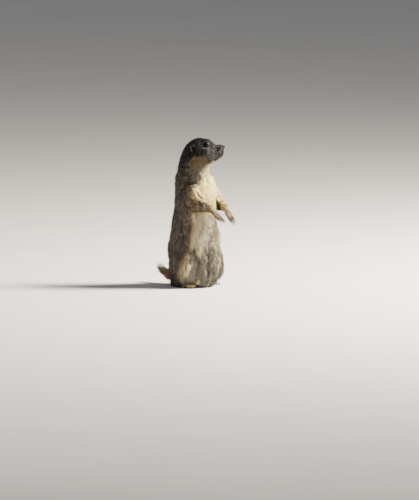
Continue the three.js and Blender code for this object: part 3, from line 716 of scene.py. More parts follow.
def make_skin():
    """The skin's points and triangles, and for each point its part, its place on it and how its hair grows.

    Points that are no surface's own lie where two surfaces cross, so they are the seams. Near them the skin
    and its hair are evened out, the more the nearer."""
    surfaces = [body_surface(), haunch_surface(1.0), haunch_surface(-1.0)]
    for name, side in SIDES.items():
        surfaces += foot_surfaces(side) + arm_surfaces(name) + [ear_surface(side), lid_surface(side)]
    surfaces.append(limb("tail", TAIL, vec(1, 0, 0), 50, 70, caps=(0.5, 1.0), inset=5.0))
    points, faces = union("skin", surfaces)
    which, away = nearest(np.vstack([s.points for s in surfaces]), points)
    sizes = [len(s.points) for s in surfaces]
    part = np.repeat([s.part for s in surfaces], sizes)[which]
    chart = np.repeat(np.arange(len(surfaces)), sizes)[which]
    place = np.vstack([s.place for s in surfaces])[which]
    lie = np.vstack([s.lie for s in surfaces])[which]
    edges = edges_of(points, faces)
    away, reach = seam_reach(points, edges, part, np.flatnonzero(away > ON_SURFACE))
    points = even_out(points, edges, np.clip(1.15 - away / reach, 0, 1) * 0.6, 30)
    normal = normals_of(points, faces)
    points = points + normal * shoulder_folds(points)[:, None]
    points[:, 2] = np.maximum(points[:, 2], FLOOR)
    at = np.interp(place[:, 1], BODY_ROW_SHARE, BODY_ROW_AT)
    growth = hair_at(points, part, place, at)
    blend = np.clip(1.3 - away / (3 * reach), 0, 1) * 0.7
    lie = unit(even_out(lie, edges, blend, 60))
    growth = even_out(growth, edges, blend, 20)
    growth[bare(points, part), 2] = 0
    zone = np.stack([np.isin(part, names) for names in ZONES], -1)
    zone = even_out(zone.astype(float), edges, blend, 12)
    # How far each point lies below its smoothed neighbours: the materials darken these hollows as painted
    # shade.
    smooth = even_out(points, edges, np.ones(len(points)), 24)
    hollow = np.clip(((smooth - points) * normal).sum(-1) / 0.9, -1, 1) * (part != "lid")
    forward, _, height = head_frame(points)
    lip = lips_at(forward, height, 1.1, 33, 37) * (part == "body")
    trim = np.stack([lip, part == "lid", hollow], -1)
    return dict(points=points, faces=faces, normal=normal, part=part, chart=chart, place=place, at=at,
                lie=lie, growth=growth, zone=zone, trim=trim)


# Materials
def srgb(*shown):
    """Colour for a socket, from three values between 0 and 255 as a screen shows them."""
    parts = [value / 255 for value in shown]
    return (*[c / 12.92 if c <= 0.04045 else ((c + 0.055) / 1.055) ** 2.4 for c in parts], 1.0)


class Flow:
    """A number or vector flowing through a material's nodes; arithmetic on it adds Math nodes."""

    def __init__(self, tree, socket):
        self.tree, self.socket = tree, socket

    def node(self, kind, settings=None, out=0, **inputs):
        """Any node: its settings first, then its sockets by name or number; one output is returned."""
        made = self.tree.nodes.new(kind)
        for key, value in (settings or {}).items():
            setattr(made, key, value)
        for key, value in inputs.items():
            target = made.inputs[int(key[1:]) if key[1:].isdigit() else key.replace("_", " ")]
            if isinstance(value, Flow):
                self.tree.links.new(value.socket, target)
            else:
                target.default_value = value
        return Flow(self.tree, made.outputs[out]) if made.outputs else None

    def math(self, operation, *others):
        """Math node on this and the other values."""
        others = {f"_{i + 1}": other for i, other in enumerate(others)}
        return self.node("ShaderNodeMath", {"operation": operation}, _0=self, **others)

    def vector(self, operation, other):
        """Vector Math node on this and the other vector."""
        return self.node("ShaderNodeVectorMath", {"operation": operation}, _0=self, _1=other)

    __add__ = __radd__ = lambda self, other: self.math("ADD", other)
    __mul__ = __rmul__ = lambda self, other: self.math("MULTIPLY", other)
    __sub__ = lambda self, other: self.math("SUBTRACT", other)
    __rsub__ = lambda self, other: self.math("MULTIPLY_ADD", -1.0, other)
    __truediv__ = lambda self, other: self.math("DIVIDE", other)
    __pow__ = lambda self, other: self.math("POWER", other)
    __abs__ = lambda self: self.math("ABSOLUTE")

    def step(self, low, high):
        """0 below low, 1 above high and smooth between them."""
        return self.node("ShaderNodeMapRange", {"interpolation_type": "SMOOTHSTEP"},
                         _0=self, _1=low, _2=high, _3=0.0, _4=1.0)

    def noise(self, size, detail=2.0, rough=0.5):
        """Noise about 0.5 at this place in metres, with features of the given size in millimetres."""
        return self.node("ShaderNodeTexNoise", {"noise_dimensions": "3D"}, Vector=self,
                         Scale=1.0 / (size * MM), Detail=detail, Roughness=rough)

    def blend(self, colour, other):
        """The first colour where this is 0 and the other where it is 1."""
        return self.node("ShaderNodeMix", {"data_type": "RGBA"}, out=2, _0=self, _6=colour, _7=other)

    def parts(self):
        """The three numbers of this vector."""
        made = self.tree.nodes.new("ShaderNodeSeparateXYZ")
        self.tree.links.new(self.socket, made.inputs[0])
        return [Flow(self.tree, out) for out in made.outputs]

    def near(self, centre, radii, soft):
        """1 inside an egg of the given centre and half-axes in millimetres, fading to 0 outside it."""
        gap = self.vector("SUBTRACT", [c * MM for c in centre]).vector("DIVIDE", [r * MM for r in radii])
        length = gap.node("ShaderNodeVectorMath", {"operation": "LENGTH"}, out="Value", _0=gap)
        return length.step(1 + soft, 1 - soft)

    def object_place(self):
        """Place on the object, in metres."""
        return self.node("ShaderNodeTexCoord", out="Object")

    def own(self, name, out="Vector"):
        """One of the piece's own attributes."""
        return self.node("ShaderNodeAttribute", {"attribute_name": name}, out=out)


def new_material(name):
    """Empty material, and a starting flow to make nodes from."""
    material = bpy.data.materials.new(name)
    material.use_nodes = True
    material.node_tree.nodes.clear()
    return material, Flow(material.node_tree, None)


def finish(material, start, colour, rough, **others):
    """Closes a material with one Principled shader and the output."""
    shader = start.node("ShaderNodeBsdfPrincipled", Base_Color=colour, Roughness=rough, **others)
    start.node("ShaderNodeOutputMaterial", _0=shader)
    return material


# The back, back_dark, neck, crown, grey and jaw are set darker than the fur's own tone, so besides the
# markings they carry painted shade; arm_shade is painted shade.
COLOURS = {name: srgb(*shown) for name, shown in {
    "back": (80, 74, 69),
    "back_dark": (60, 55, 52),
    "hair_dark": (52, 45, 40),
    "hair_pale": (186, 172, 146),
    "tan": (146, 124, 94),
    "cream": (254, 240, 172),
    "belly": (184, 174, 146),
    "low_belly": (100, 94, 82),
    "crown": (34, 33, 37),
    "black": (17, 15, 16),
    "grey": (34, 33, 34),
    "muzzle_pale": (122, 117, 108),
    "neck": (92, 86, 77),
    "jaw": (102, 88, 63),
    "throat": (236, 223, 188),
    "mottle": (80, 76, 71),
    "arm": (206, 182, 128),
    "arm_shade": (42, 32, 22),
    "paw": (126, 108, 82),
    "foot": (188, 170, 136),
    "tail": (160, 132, 98),
    "tail_dark": (136, 110, 82),
    "tail_pale": (232, 222, 196),
}.items()}
# Patches on the head, each over those before it. Columns: middle, half-axes, softness, strength, colour
HEAD_PATCHES = [
    ((27.5, 17, 256.5), (2.6, 9, 7.5), 0.5, 0.7, "muzzle_pale"),
    ((44, 0, 243), (12, 9, 4.5), 0.3, 0.6, "throat"),
    ((13, 21, 257.5), (10.5, 9, 7.5), 0.35, 0.85, "black"),
    ((18, 12, 280), (13, 11, 5.0), 0.35, 0.95, "black"),
    ((23.5, 19, 265.8), (7.0, 8, 2.0), 0.35, 0.55, "muzzle_pale"),
]


def layered(colour, layers):
    """The colour with others laid over it in turn, each where its mask is 1: names of colours, or flows."""
    for mask, other in layers:
        colour = mask.blend(colour, COLOURS.get(other, other))
    return colour


def front_marks(place, wobble):
    """Layers of the cream front, its tan edge and its streaked lower belly, and the share of front.

    The front begins where -y over the distance from the body's axis passes a bound set by the height. The
    bound, higher at the neck, is set partly where the lit side ends and the head's shadow falls, so the
    front's edge is partly the fur's own cream front and partly painted light and shade."""
    x, y, z = place.parts()
    behind = y - 0.003
    ahead = 0.0 - behind / (behind**2.0 + x * x) ** 0.5
    # Painted light and shade in part: the bound sits where the lit side ends, and rises at the neck where the
    # head's shadow falls.
    bound = z.step(0.0, 0.125) * 0.40 + z.step(0.188, 0.218) * 0.42 + 0.08
    front = ahead - bound + wobble * 0.22
    body = z.step(0.236, 0.216)
    pale = front.step(-0.10, 0.12) * body
    streaks = place.vector("MULTIPLY", (1.0, 1.0, 0.3)).noise(9, 3.0, 0.6)
    return [
        (front.step(-0.30, -0.02) * body * 0.8, "tan"),
        (pale, "cream"),
        (pale * z.step(0.165, 0.135), "belly"),
        (pale * (z + wobble * 0.02).step(0.105, 0.055), "low_belly"),
        (z.step(0.170, 0.070) * pale * streaks.step(0.50, 0.58) * 0.9, "mottle"),
        (z.step(0.110, 0.055) * pale * streaks.step(0.44, 0.36) * 0.6, "cream"),
    ], pale


def limb_marks(place, wobble, fine, arm, paw, tail):
    """Layers of the arms, ridged over the shoulder with painted shade in the furrows and painted shade
    underneath, paws, and the pale-tipped tail.

    The arm_shade layers are painted shade: in the furrows between the fur's ridges, under each arm, on the
    left arm's side towards the chest and on the lower part of the hands. Behind the arm's cream the back's
    grey-brown stays, partly as painted shade.
    """
    x, y, z = place.parts()
    ridge_across = z * 0.66 - y * 0.63 - abs(x) * 0.41
    ridge_along = z * -0.75 - y * 0.55 - abs(x) * 0.36
    ridges = place.node("ShaderNodeCombineXYZ", _0=ridge_across, _1=ridge_along * 0.18, _2=x).noise(5, 2.0)
    left = x.step(0.0, 0.010)
    low = z + wobble * 0.005 + left * 0.014
    # Painted shade: under is 1 on each arm's underside, below two slanted bounds; inner is 1 on the left
    # arm's side towards the chest.
    under = (low - y * 0.52).step(0.1915, 0.1855) * (low - y * 1.3).step(0.2160, 0.2095)
    inner = left * (x * 0.60 - y * 0.80 + z * 0.63 + wobble * 0.005).step(0.1460, 0.1385)
    tail_colour = y.step(0.060, 0.078).blend(COLOURS["tail"], COLOURS["tail_dark"])
    return [
        # The arm's cream only on its front; behind it the back's grey-brown stays, partly as painted shade.
        # The arm_shade layers are painted shade.
        (arm * (wobble * 0.006 - y).step(0.015, 0.028), "arm"),
        (arm * ridges.step(0.50, 0.57) * 0.7, "arm_shade"),
        (arm * under * 0.95, "arm_shade"),
        (arm * inner * 0.9, "arm_shade"),
        (paw, "paw"),
        (paw * (z - y * 0.875).step(0.1945, 0.1900) * 0.8, "arm_shade"),
        (paw * z.step(0.03, 0.02), "foot"),
        (paw * z.step(0.020, 0.015) * fine.step(0.42, 0.62) * 0.5, "tan"),
        (tail, y.step(0.072, 0.088).blend(tail_colour, COLOURS["tail_pale"])),
    ]


def head_marks(place, wobble, lip, lid):
    """Layers of the dark cap, tan jaw, pale throat, streaked muzzle and patches, and the share of cap."""
    x, y, z = place.parts()
    c, s = math.cos(HEAD_TURN), math.sin(HEAD_TURN)
    forward, side = x * s - y * c, abs(x * c + y * s)
    head = place.node("ShaderNodeCombineXYZ", _0=forward, _1=side, _2=z)
    edge = 0.2385 + (forward + wobble * 0.008).step(-0.012, 0.004) * 0.0135
    cap = z.step(0.222, 0.236) * (z - edge + wobble * 0.006).step(-0.0025, 0.0035)
    streak = head.vector("MULTIPLY", (0.35, 1.0, 1.0)).noise(2.6, 3.0, 0.6)
    muzzle = forward.step(0.024, 0.032) * z.step(0.243, 0.247) * z.step(0.275, 0.268)
    muzzle = muzzle * (1 - forward.step(0.042, 0.052) * 0.7)
    layers = [
        (z.step(0.200, 0.225) * (forward - side * 0.3).step(0.012, -0.002), "neck"),
        # A darker nape and upper back: the dark cap carried down, partly its own colour and partly painted
        # shade.
        (forward.step(0.004, -0.018) * z.step(0.165, 0.228) * 0.85, "crown"),
        (cap, "crown"),
        (head.near((9.5, 22, 242), (18.5, 22, 11), 0.18) * (z - edge).step(0.002, -0.002), "jaw"),
        (head.near((32, 0, 232), (24, 17, 11), 0.4), "throat"),
        ((forward - wobble * 0.01).step(0.026, 0.034) * z.step(0.240, 0.246), "grey"),
        (muzzle * streak.step(0.53, 0.61) * 0.8, "muzzle_pale"),
        (muzzle * streak.step(0.46, 0.38) * 0.7, "hair_dark"),
    ]
    layers += [(head.near(*egg) * strength, name) for *egg, strength, name in HEAD_PATCHES]
    return layers + [(lip.step(0.35, 0.9), "black"), (lid, "black")], cap


def markings(place, zone, trim):
    """The animal's colours at a place in metres, its brightness there, and how free it is of ticked hairs.

    A grey-brown back, with the layers of front, limbs and head over it. Zone gives the shares of arm, paw and
    tail, and trim those of lip, lid and hollow. Hollows between the folds are darkened as painted shade."""
    z = place.parts()[2]
    arm, paw, tail = zone.parts()
    lip, lid, hollow = trim.parts()
    wobble = place.noise(16, 3.0) - 0.5
    fine = place.noise(3.0, 2.0)
    front, pale = front_marks(place, wobble)
    limbs = limb_marks(place, wobble, fine, arm, paw, tail)
    head, cap = head_marks(place, wobble, lip, lid)
    back = place.noise(26, 2.0).step(0.30, 0.70).blend(COLOURS["back"], COLOURS["back_dark"])
    neck = z.step(0.200, 0.210) * z.step(0.243, 0.236)
    # Painted shade: the skin's hollows darker, the more on pale fur, arms and paws and a little on the neck;
    # fine noise varies the tone at random.
    hollow_shade_strength = pale * 0.3 + arm * 0.5 + paw * 0.45 + neck * 0.15 + 0.2
    shade = ((fine - 0.5) * 0.5 + 1.0) * (1.0 - hollow * hollow_shade_strength)
    return layered(back, front + limbs + head), shade, pale * (1 - cap) * 0.9 + cap * 0.65


def coat_material(name):
    """Hair: the markings at each tuft's root, darkened towards the root as painted shade deep in the coat,
    and ticked with dark and pale tips.
    """
    material, start = new_material(name)
    reach, tone = start.own("reach", "Fac"), start.own("tone", "Fac")
    colour, shade, plain = markings(start.own("root"), start.own("zone"), start.own("trim"))
    ticked = (1 - plain) * reach.step(0.35, 0.85)
    colour = layered(colour, [(tone.step(0.56, 0.70) * ticked * 0.7, "hair_dark"),
                              (tone.step(0.42, 0.30) * ticked * 0.32, "hair_pale")])
    # Painted shade: darker towards each tuft's root, and in the skin's hollows; tone varies at random.
    value = (reach.step(-0.1, 0.7) * 0.48 + 0.52) * shade * (tone * 0.4 + 0.8)
    colour = start.node("ShaderNodeHueSaturation", Color=colour, Value=value)
    return finish(material, start, colour, 0.62,
                  Specular_IOR_Level=0.2, Sheen_Weight=0.05, Sheen_Roughness=0.5)


def skin_material(name):
    """Skin and undercoat: the same markings, darkened as painted shade deep in the coat, with fine upright
    streaks in tone and as bump.
    """
    material, start = new_material(name)
    place = start.object_place()
    colour, shade, _ = markings(place, start.own("zone"), start.own("trim"))
    streak = place.vector("MULTIPLY", (1.0, 1.0, 0.3)).noise(0.9, 3.0)
    # Painted shade: the skin under the tufts darkened, so the gaps between tufts read as shade.
    colour = start.node("ShaderNodeHueSaturation", Color=colour, Value=shade * (streak * 0.4 + 0.32))
    normal = start.node("ShaderNodeBump", Strength=0.5, Distance=0.0006, Height=streak)
    return finish(material, start, colour, 0.8, Normal=normal, Specular_IOR_Level=0.2)


def nose_material():
    """Nose leather: near-black skin of fine pebbles, moist in its hollows."""
    material, start = new_material("nose_leather")
    cells = start.node("ShaderNodeTexVoronoi", Vector=start.object_place(), Scale=1.0 / 0.0007)
    colour = cells.blend(srgb(8, 7, 7), srgb(22, 19, 19))
    normal = start.node("ShaderNodeBump", {"invert": True}, Strength=0.5, Distance=0.0002, Height=cells)
    return finish(material, start, colour, cells * 0.25 + 0.5, Normal=normal, Specular_IOR_Level=0.2)


def eye_material():
    """Eye: a near-black ball, faintly clouded with brown, under a wet gloss."""
    material, start = new_material("eye_gloss")
    colour = start.object_place().noise(1.2, 2.0).blend(srgb(9, 7, 6), srgb(22, 14, 10))
    return finish(material, start, colour, 0.04, IOR=1.376, Specular_IOR_Level=0.3)


def claw_material():
    """Horn of claws and whiskers: near-black, with long streaks that dull it."""
    material, start = new_material("claw_horn")
    streak = start.object_place().vector("MULTIPLY", (1.0, 0.5, 0.35)).noise(0.5, 3.0)
    colour = streak.step(0.35, 0.75).blend(srgb(26, 22, 20), srgb(66, 57, 49))
    normal = start.node("ShaderNodeBump", Strength=0.3, Distance=0.0001, Height=streak)
    return finish(material, start, colour, streak * 0.3 + 0.3, Normal=normal)


# Coat
SEEDS = dict(roots=11, tufts=5, whiskers=9)
# Hair of the body. Columns: distance along the body, length, width, tufts to a square millimetre
BODY_HAIR = np.array([
    (0, 13, 1.25, 0.9),
    (60, 15, 1.3, 0.9),
    (140, 14, 1.25, 0.95),
    (200, 12, 1.15, 1.05),
    (225, 10, 1.0, 1.3),
    (245, 8, 0.8, 1.75),
    (262, 5.6, 0.65, 2.4),
    (276, 4.2, 0.55, 3.1),
    (290, 2.8, 0.44, 3.8),
    (301.2, 1.7, 0.38, 4.4),
], float)
# Hair of the other parts: length where the part starts and where it ends, width, density, lift of the tip
PART_HAIR = {
    "haunch": (13, 11, 1.25, 0.95, 4.5),
    "upper_arm": (11, 10, 0.95, 1.6, 3.0),
    "forearm": (11, 5.5, 0.85, 1.8, 2.6),
    "hand": (3.2, 1.3, 0.36, 4.6, 0.5),
    "foot": (4.0, 1.6, 0.42, 3.6, 0.6),
    "tail": (13, 20, 1.2, 1.4, 5.5),
    "ear": (3.6, 3.4, 0.42, 5.0, 0.7),
    "lid": (1.5, 1.5, 0.38, 3.4, 0.25),
}
# Coat pieces in the order in which they are made: stretches between bounds along the body, then other parts
STRETCHES = ["face", "head", "nape", "neck", "shoulders", "chest", "waist", "belly", "hips", "rump"]
STRETCH_BOUNDS = [302, 276, 254, 230, 205, 170, 135, 100, 65, 32, -1]
LIMB_COATS = {"haunches": ["haunch"], "arms": ["upper_arm", "forearm"], "hands": ["hand"], "feet": ["foot"],
              "tail": ["tail"], "ears": ["ear"]}

TUFT_RINGS = 2  # rings of three points from a tuft's root on, below its tip
ROOT_DEPTH = 0.5  # a tuft starts this far under the skin
HAIR_FLOOR = 0.15  # hair stays this far above the floor
TUFT_PATCH = 0.003  # size of a tuft's patch on the piece's unwrap


def hair_at(points, part, place, at):
    """Length, width, density and lift of the hair at each point, shorter and flatter about the eyes."""
    length, width, density = [np.interp(at, BODY_HAIR[:, 0], BODY_HAIR[:, k]) for k in (1, 2, 3)]
    lift = np.interp(at, COAT[:, 0], COAT[:, 2])
    for name, (start, end, *rest) in PART_HAIR.items():
        here = part == name
        length[here] = start + (end - start) * place[here, 1]
        for field, value in zip((width, density, lift), rest):
            field[here] = value
    for side in SIDES.values():
        centre, out = eye_axes(side)[:2]
        near = (part == "body") & (at > 240) & ((points - centre) @ out > -2)
        eye = eye_gap(points, side)
        for field, least in ((length, 0.3), (lift, 0.12)):
            field *= np.where(near, least + (1 - least) * smoothstep(eye, 4.5, 14), 1)
    return np.stack([length, width, density, lift], -1)


def eye_gap(points, side):
    """Distance of points from the line that looks out of the eye, shortened along the eye's length."""
    centre, _, ahead, up = eye_axes(side)
    return np.hypot((points - centre) @ ahead / 1.2, (points - centre) @ up)


def bare(points, part):
    """Where no hair grows: lids and the eye between them, nose and its cleft, the lips' edge, underneath."""
    f, s, h = head_frame(points)
    head = (part == "body") & (points[:, 2] > 238)
    pad = vec(NOSE["long"], NOSE["wide"], NOSE["tall"])
    nose = np.linalg.norm(np.stack([f - NOSE["forward"], s, h - NOSE["height"]], -1) / pad, axis=1)
    cleft = (f > 48.5) & (np.abs(s) < 0.45) & (h > 249) & (h < 264)
    eye = np.minimum(*[np.where(side * s > 8, eye_gap(points, side), 99) for side in SIDES.values()])
    face = head & ((eye < 4.3) | (lips_at(f, h, 0.75, 33.5, 36) > 0.6))
    return (part == "lid") | (nose < 0.97) | cleft | (points[:, 2] < 0.6) | face

def grow(skin):
    """Tuft roots scattered over the skin by area and density, each with its direction, size and lock."""
    draw = np.random.default_rng(SEEDS["roots"])
    points, faces = skin["points"], skin["faces"]
    a, b, c = np.moveaxis(points[faces], 1, 0)
    area = np.linalg.norm(np.cross(b - a, c - a), axis=1) / 2
    density = skin["growth"][:, 2][faces]
    expected = area * np.where((density > 0).sum(1) > 1, density.max(1), 0)
    face = np.repeat(np.arange(len(faces)), np.floor(expected + draw.random(len(faces))).astype(int))
    r, q = np.sqrt(draw.random(len(face))), draw.random(len(face))
    share = np.stack([1 - r, r * (1 - q), r * q], -1)[..., None]
    corner = faces[face]
    root, normal, lie, growth = [(skin[key][corner] * share).sum(1)
                                 for key in ("points", "normal", "lie", "growth")]
    hair = {key: skin[key][corner[:, 0]] for key in ("part", "chart", "place", "at", "zone", "trim")}
    hair.update(zip(("length", "width", "density", "lift"), growth.T), root=root, normal=unit(normal))
    clear_toes(hair, skin)
    hair["way"] = comb(hair, lie, draw)
    hair["tone"] = draw.random(len(root))
    lock(hair, draw)
    return hair


def clear_toes(hair, skin):
    """Shortens the body's hair that would hang over the toes, by its distance from them."""
    low = np.flatnonzero((hair["root"][:, 2] < 45) & np.isin(hair["part"], ["body", "haunch"]))
    toes = skin["points"][(skin["part"] == "foot") & (np.abs(skin["points"][:, 0]) > 26)]
    away = nearest(toes, hair["root"][low])[1]
    shorter = 0.25 + 0.75 * smoothstep(away, 2, 20)
    hair["length"][low] *= shorter
    hair["lift"][low] *= shorter


def comb(hair, lie, draw):
    """Direction of each tuft along the skin: its part's lie, swayed by ripples, parted round the eyes."""
    root, normal = hair["root"], hair["normal"]
    face = (hair["part"] == "body") & (hair["at"] > 262)
    sway = np.stack([ripple(root, 26, seed) for seed in (21, 22, 23)], -1) * 0.2
    way = unit(lie) + (sway + draw.normal(0, 0.12, lie.shape)) * np.where(face, 0.5, 1.0)[:, None]
    for side in SIDES.values():
        gap = root - eye_axes(side)[0]
        away = np.linalg.norm(gap, axis=1)
        parting = 1.3 * bell(np.maximum(away - 5, 0) / 3.5) * (hair["part"] == "body")
        way = way + unit(gap) * parting[:, None]
    return unit(way - normal * (way * normal).sum(1, keepdims=True))


def lock(hair, draw):
    """Gathers tufts into locks: each leans towards the nearest leader, a tuft drawn by chance.

    Leaders stand a little under half a tuft's length apart. A tuft's pull is a share of the way to its
    leader's root, across the skin, and a smaller share on the upper arm. A tuft takes part of its leader's
    tone and direction, and one draw scales the lift of the whole lock."""
    spacing = 0.45 * hair["length"]
    leader = np.flatnonzero(draw.random(len(spacing)) < 1 / np.maximum(hair["density"] * spacing**2, 1))
    which = leader[nearest(hair["root"][leader], hair["root"])[0]]
    pull = hair["root"][which] - hair["root"]
    pull -= hair["normal"] * (pull * hair["normal"]).sum(1, keepdims=True)
    reach = np.linalg.norm(pull, axis=1)
    most = np.where(hair["part"] == "upper_arm", 0.25, 0.52)
    gather = most * np.minimum(1, hair["length"] * 0.5 / np.maximum(reach, 1e-6))
    hair["pull"] = pull * gather[:, None]
    hair["tone"] = 0.6 * hair["tone"] + 0.4 * hair["tone"][which]
    hair["lift"] = hair["lift"] * (0.78 + 0.36 * draw.random(len(which))[which])
    hair["way"] = unit(hair["way"] + 0.5 * hair["way"][which])


def tufts(name, hair, pick, draw):
    """Coat piece of closed tufts, each a three-sided sliver that tapers from its root to a point.

    With t from 0 at the root to 1 at the tip, its middle is root + way * length * t + pull * t ** 1.4 +
    normal * lift * sin(1.35 t) ** 0.8, bent sideways by t squared, and its width is width * (1 - t) ** 0.6.
    A few are stray hairs, longer, thinner and more lifted."""
    h = {key: value[pick] for key, value in hair.items()}
    count = len(pick)
    side = np.cross(h["normal"], h["way"])
    stray = (draw.random(count) < 0.06) & (h["length"] > 4)
    length = h["length"] * draw.uniform(0.72, 1.15, count)
    length = length * (1 + 0.12 * ripple(h["root"], 8, 41)) * (1 + 0.25 * stray)
    lift = h["lift"] * draw.uniform(0.6, 1.05, count) * (1 + 0.6 * stray)
    width = h["width"] * draw.uniform(0.75, 1.2, count) * (1 - 0.45 * stray)
    roll = draw.normal(0, 0.35, count)[:, None]
    bend = draw.normal(0, 0.1, count) * length
    flat = side * np.cos(roll) + h["normal"] * np.sin(roll)
    top = h["normal"] * np.cos(roll) - side * np.sin(roll)

    def middle(t, sunk=0.0):
        height = lift * math.sin(1.35 * t) ** 0.8 - sunk
        return (h["root"] + h["way"] * (length * t)[:, None] + side * (bend * t * t)[:, None]
                + h["pull"] * t**1.4 + h["normal"] * height[:, None])

    points, reach, patch = [], [], []
    for ring in range(TUFT_RINGS):
        t = ring / TUFT_RINGS
        half = (width * (1 - t) ** 0.6 / 2)[:, None]
        for k, corner in enumerate((-flat * half, flat * half, top * half * 0.7)):
            points.append(middle(t, 0.0 if ring else ROOT_DEPTH) + corner)
            reach.append(t)
            patch.append(((k - 1) * TUFT_PATCH / 2, (t - 0.5) * TUFT_PATCH))
    points.append(middle(1.0))
    reach.append(1.0)
    patch.append((0, TUFT_PATCH / 2))
    points = np.stack(points, 1)
    points[..., 2] = np.maximum(points[..., 2], HAIR_FLOOR)
    each = 3 * TUFT_RINGS + 1
    one = [(0, 2, 1)]
    for k in range(3):
        a, b = k, (k + 1) % 3
        one += [(a, b, b + 3), (a, b + 3, a + 3), (a + 3, b + 3, each - 1)]
    faces = (np.array(one)[None] + np.arange(count)[:, None, None] * each).reshape(-1, 3)
    piece = put(name, points.reshape(-1, 3), faces)
    note(piece, root=np.repeat(h["root"] * MM, each, axis=0), reach=np.tile(reach, count),
         **{key: np.repeat(h[key], each, axis=0) for key in ("tone", "zone", "trim")})
    uv = (bake_place(h["chart"], h["place"])[:, None] + np.array(patch)).reshape(-1, 2)
    layer = piece.data.uv_layers.new(name="OFBake")
    layer.data.foreach_set("uv", uv[faces.ravel()].astype(np.float32).ravel())
    return piece


def bake_place(chart, place):
    """Roots on the piece's unwrap: each surface's two parameters, in a tile of its own."""
    kinds = np.unique(chart)
    across = math.ceil(math.sqrt(len(kinds)))
    index = np.searchsorted(kinds, chart)
    low, high = place.min(0), place.max(0)
    inside = (place - low) / np.maximum(high - low, 1e-6) * 0.96 + 0.02
    return (inside + np.stack([index % across, index // across], -1)) / across


def make_coat(skin):
    """Coat pieces, by stretch of the body and by limb."""
    hair = grow(skin)
    draw = np.random.default_rng(SEEDS["tufts"])
    part, at = hair["part"], hair["at"]
    groups = {name: (part == "body") & (at > low) & (at <= high)
              for name, high, low in zip(STRETCHES, STRETCH_BOUNDS, STRETCH_BOUNDS[1:])}
    groups.update({name: np.isin(part, parts) for name, parts in LIMB_COATS.items()})
    return [tufts(f"coat_{name}", hair, np.flatnonzero(mask), draw) for name, mask in groups.items()]


def whiskers(skin):
    """Whiskers in rows on each whisker pad: thin limbs that sweep out, back and a little down."""
    draw = np.random.default_rng(SEEDS["whiskers"])
    roots, ways = [], []
    for side in SIDES.values():
        for row, height in enumerate((258.5, 255.5, 252.8)):
            for k in range(4):
                droop = -0.1 - 0.14 * row + draw.normal(0, 0.05)
                roots.append(turned(46.5 - k * 2.6 - row * 0.5, side * (12 + k), height))
                ways.append(unit(turned(0.1 - 0.2 * k, side, droop)))
    roots = skin["points"][nearest(skin["points"], roots)[0]]
    back = turned(-1, 0, -0.1)
    made = []
    for root, way in zip(roots, ways):
        long = draw.uniform(17, 25)
        stops = [(root + way * long * t + back * long * 0.22 * t * t, w, w)
                 for t, w in ((-0.06, 0.16), (0.3, 0.13), (0.65, 0.09), (1, 0.04))]
        made.append(limb("whisker", stops, UP, 5, 24))
    return joined("whiskers", made)


# Making
hide = make_skin()
skin = put("skin", hide["points"], hide["faces"])
note(skin, zone=hide["zone"], trim=hide["trim"])
coat = make_coat(hide)
eyes = {name: joined(f"eye_ball_{name}", [eye_surface(side)]) for name, side in SIDES.items()}
nose = joined("nose_pad", [nose_surface()])
whisker_piece = whiskers(hide)

FLESH = ["abdomen", "chest", "neck", "head", "lower_jaw", "tail_root", "tail_brush"]
PAIRED_FLESH = ("haunch", "hind_foot", "upper_arm", "forearm", "forepaw", "ear")
FLESH += [f"{part}_{name}" for part in PAIRED_FLESH for name in SIDES]
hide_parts(*FLESH)
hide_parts("nose")
skin.data.materials.append(skin_material("skin_fur"))
hair_material = coat_material("coat_hair")
for piece in coat:
    piece.data.materials.append(hair_material)
whisker_piece.data.materials.append(claw_material())
nose.data.materials.append(nose_material())
eye_finish, claw_finish = eye_material(), claw_material()
claws = []
for name, side in SIDES.items():
    eyes[name].data.materials.append(eye_finish)
    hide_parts(f"eye_{name}")
    for paw, made in (("hind", foot_claws(side)), ("front", hand_claws(name))):
        piece = joined(f"claws_{paw}_{name}", made)
        piece.data.materials.append(claw_finish)
        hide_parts(*[f"{paw}_claw_{name}_{i + 1}" for i in range(5)])
        claws.append(piece)

SLOTS = [(skin, "back"), (nose, "nose"), (whisker_piece, "claw")] + [(piece, "claw") for piece in claws]
SLOTS += [(piece, "back") for piece in coat] + [(piece, "eye") for piece in eyes.values()]
for piece, slot in SLOTS:
    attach(piece, "root")


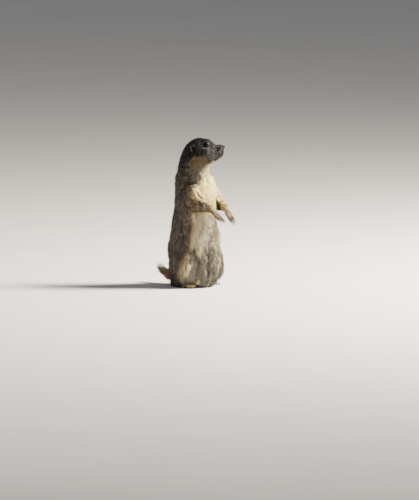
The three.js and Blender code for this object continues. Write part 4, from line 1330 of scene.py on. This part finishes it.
# Floor, light and camera
def view_axes():
    """Directions to the camera, to the picture's right and to its top."""
    ca, sa = math.cos(CAMERA_AZIMUTH), math.sin(CAMERA_AZIMUTH)
    ce, se = math.cos(CAMERA_HEIGHT), math.sin(CAMERA_HEIGHT)
    to_camera, right = vec(sa * ce, -ca * ce, se), vec(ca, sa, 0)
    return to_camera, right, np.cross(to_camera, right)


def place_facing(piece, place, target):
    """Puts a camera or lamp at a place, facing a target, upright."""
    back = unit(np.array(place) - np.array(target))
    right = unit(np.cross(UP, back))
    up = np.cross(back, right)
    columns = [(*right, 0), (*up, 0), (*back, 0), (*place, 1)]
    piece.matrix_world = Matrix(columns).transposed()


def lamp(name, place, size, power, colour):
    """Soft square lamp that faces the animal."""
    data = bpy.data.lights.new(name, "AREA")
    data.shape, data.size, data.energy, data.color = "SQUARE", size, power, colour
    place_facing(added(name, data), place, (0, 0, 0.14))


def make_floor():
    """Wide flat floor of pale, faintly uneven card."""
    reach = FLOOR_REACH / MM
    corners = [(-reach, -reach, 0), (reach, -reach, 0), (reach, reach, 0), (-reach, reach, 0)]
    floor = put("floor", np.array(corners, float), np.array([(0, 1, 2), (0, 2, 3)]))
    material, start = new_material("floor_card")
    colour = start.object_place().noise(180, 2.0).blend(srgb(214, 208, 200), srgb(222, 217, 210))
    floor.data.materials.append(finish(material, start, colour, 0.9))


to_camera, right, up = view_axes()
make_floor()
lamp("key_lamp", right * 1.6 + up * 1.35 + to_camera * 0.1 + UP * 0.14,
     size=0.6, power=345, colour=(1.0, 0.95, 0.86))
lamp("fill_lamp", to_camera * 2.2 - right * 0.8 + UP * 1.0, size=2.0, power=5, colour=(0.86, 0.92, 1.0))
world = bpy.data.worlds.new("studio")
world.use_nodes = True
world.node_tree.nodes["Background"].inputs["Color"].default_value = (0.82, 0.87, 0.95, 1)
world.node_tree.nodes["Background"].inputs["Strength"].default_value = 0.28
bpy.context.scene.world = world

camera_data = bpy.data.cameras.new("camera")
camera_data.sensor_width = 36.0
camera_data.lens = 36.0 * CAMERA_AWAY / PICTURE_TALL
camera_data.clip_end = 200.0
camera = added("camera", camera_data)
aim = right * PICTURE_MIDDLE[0] + up * PICTURE_MIDDLE[1]
place_facing(camera, aim + to_camera * CAMERA_AWAY, aim)
bpy.context.scene.camera = camera
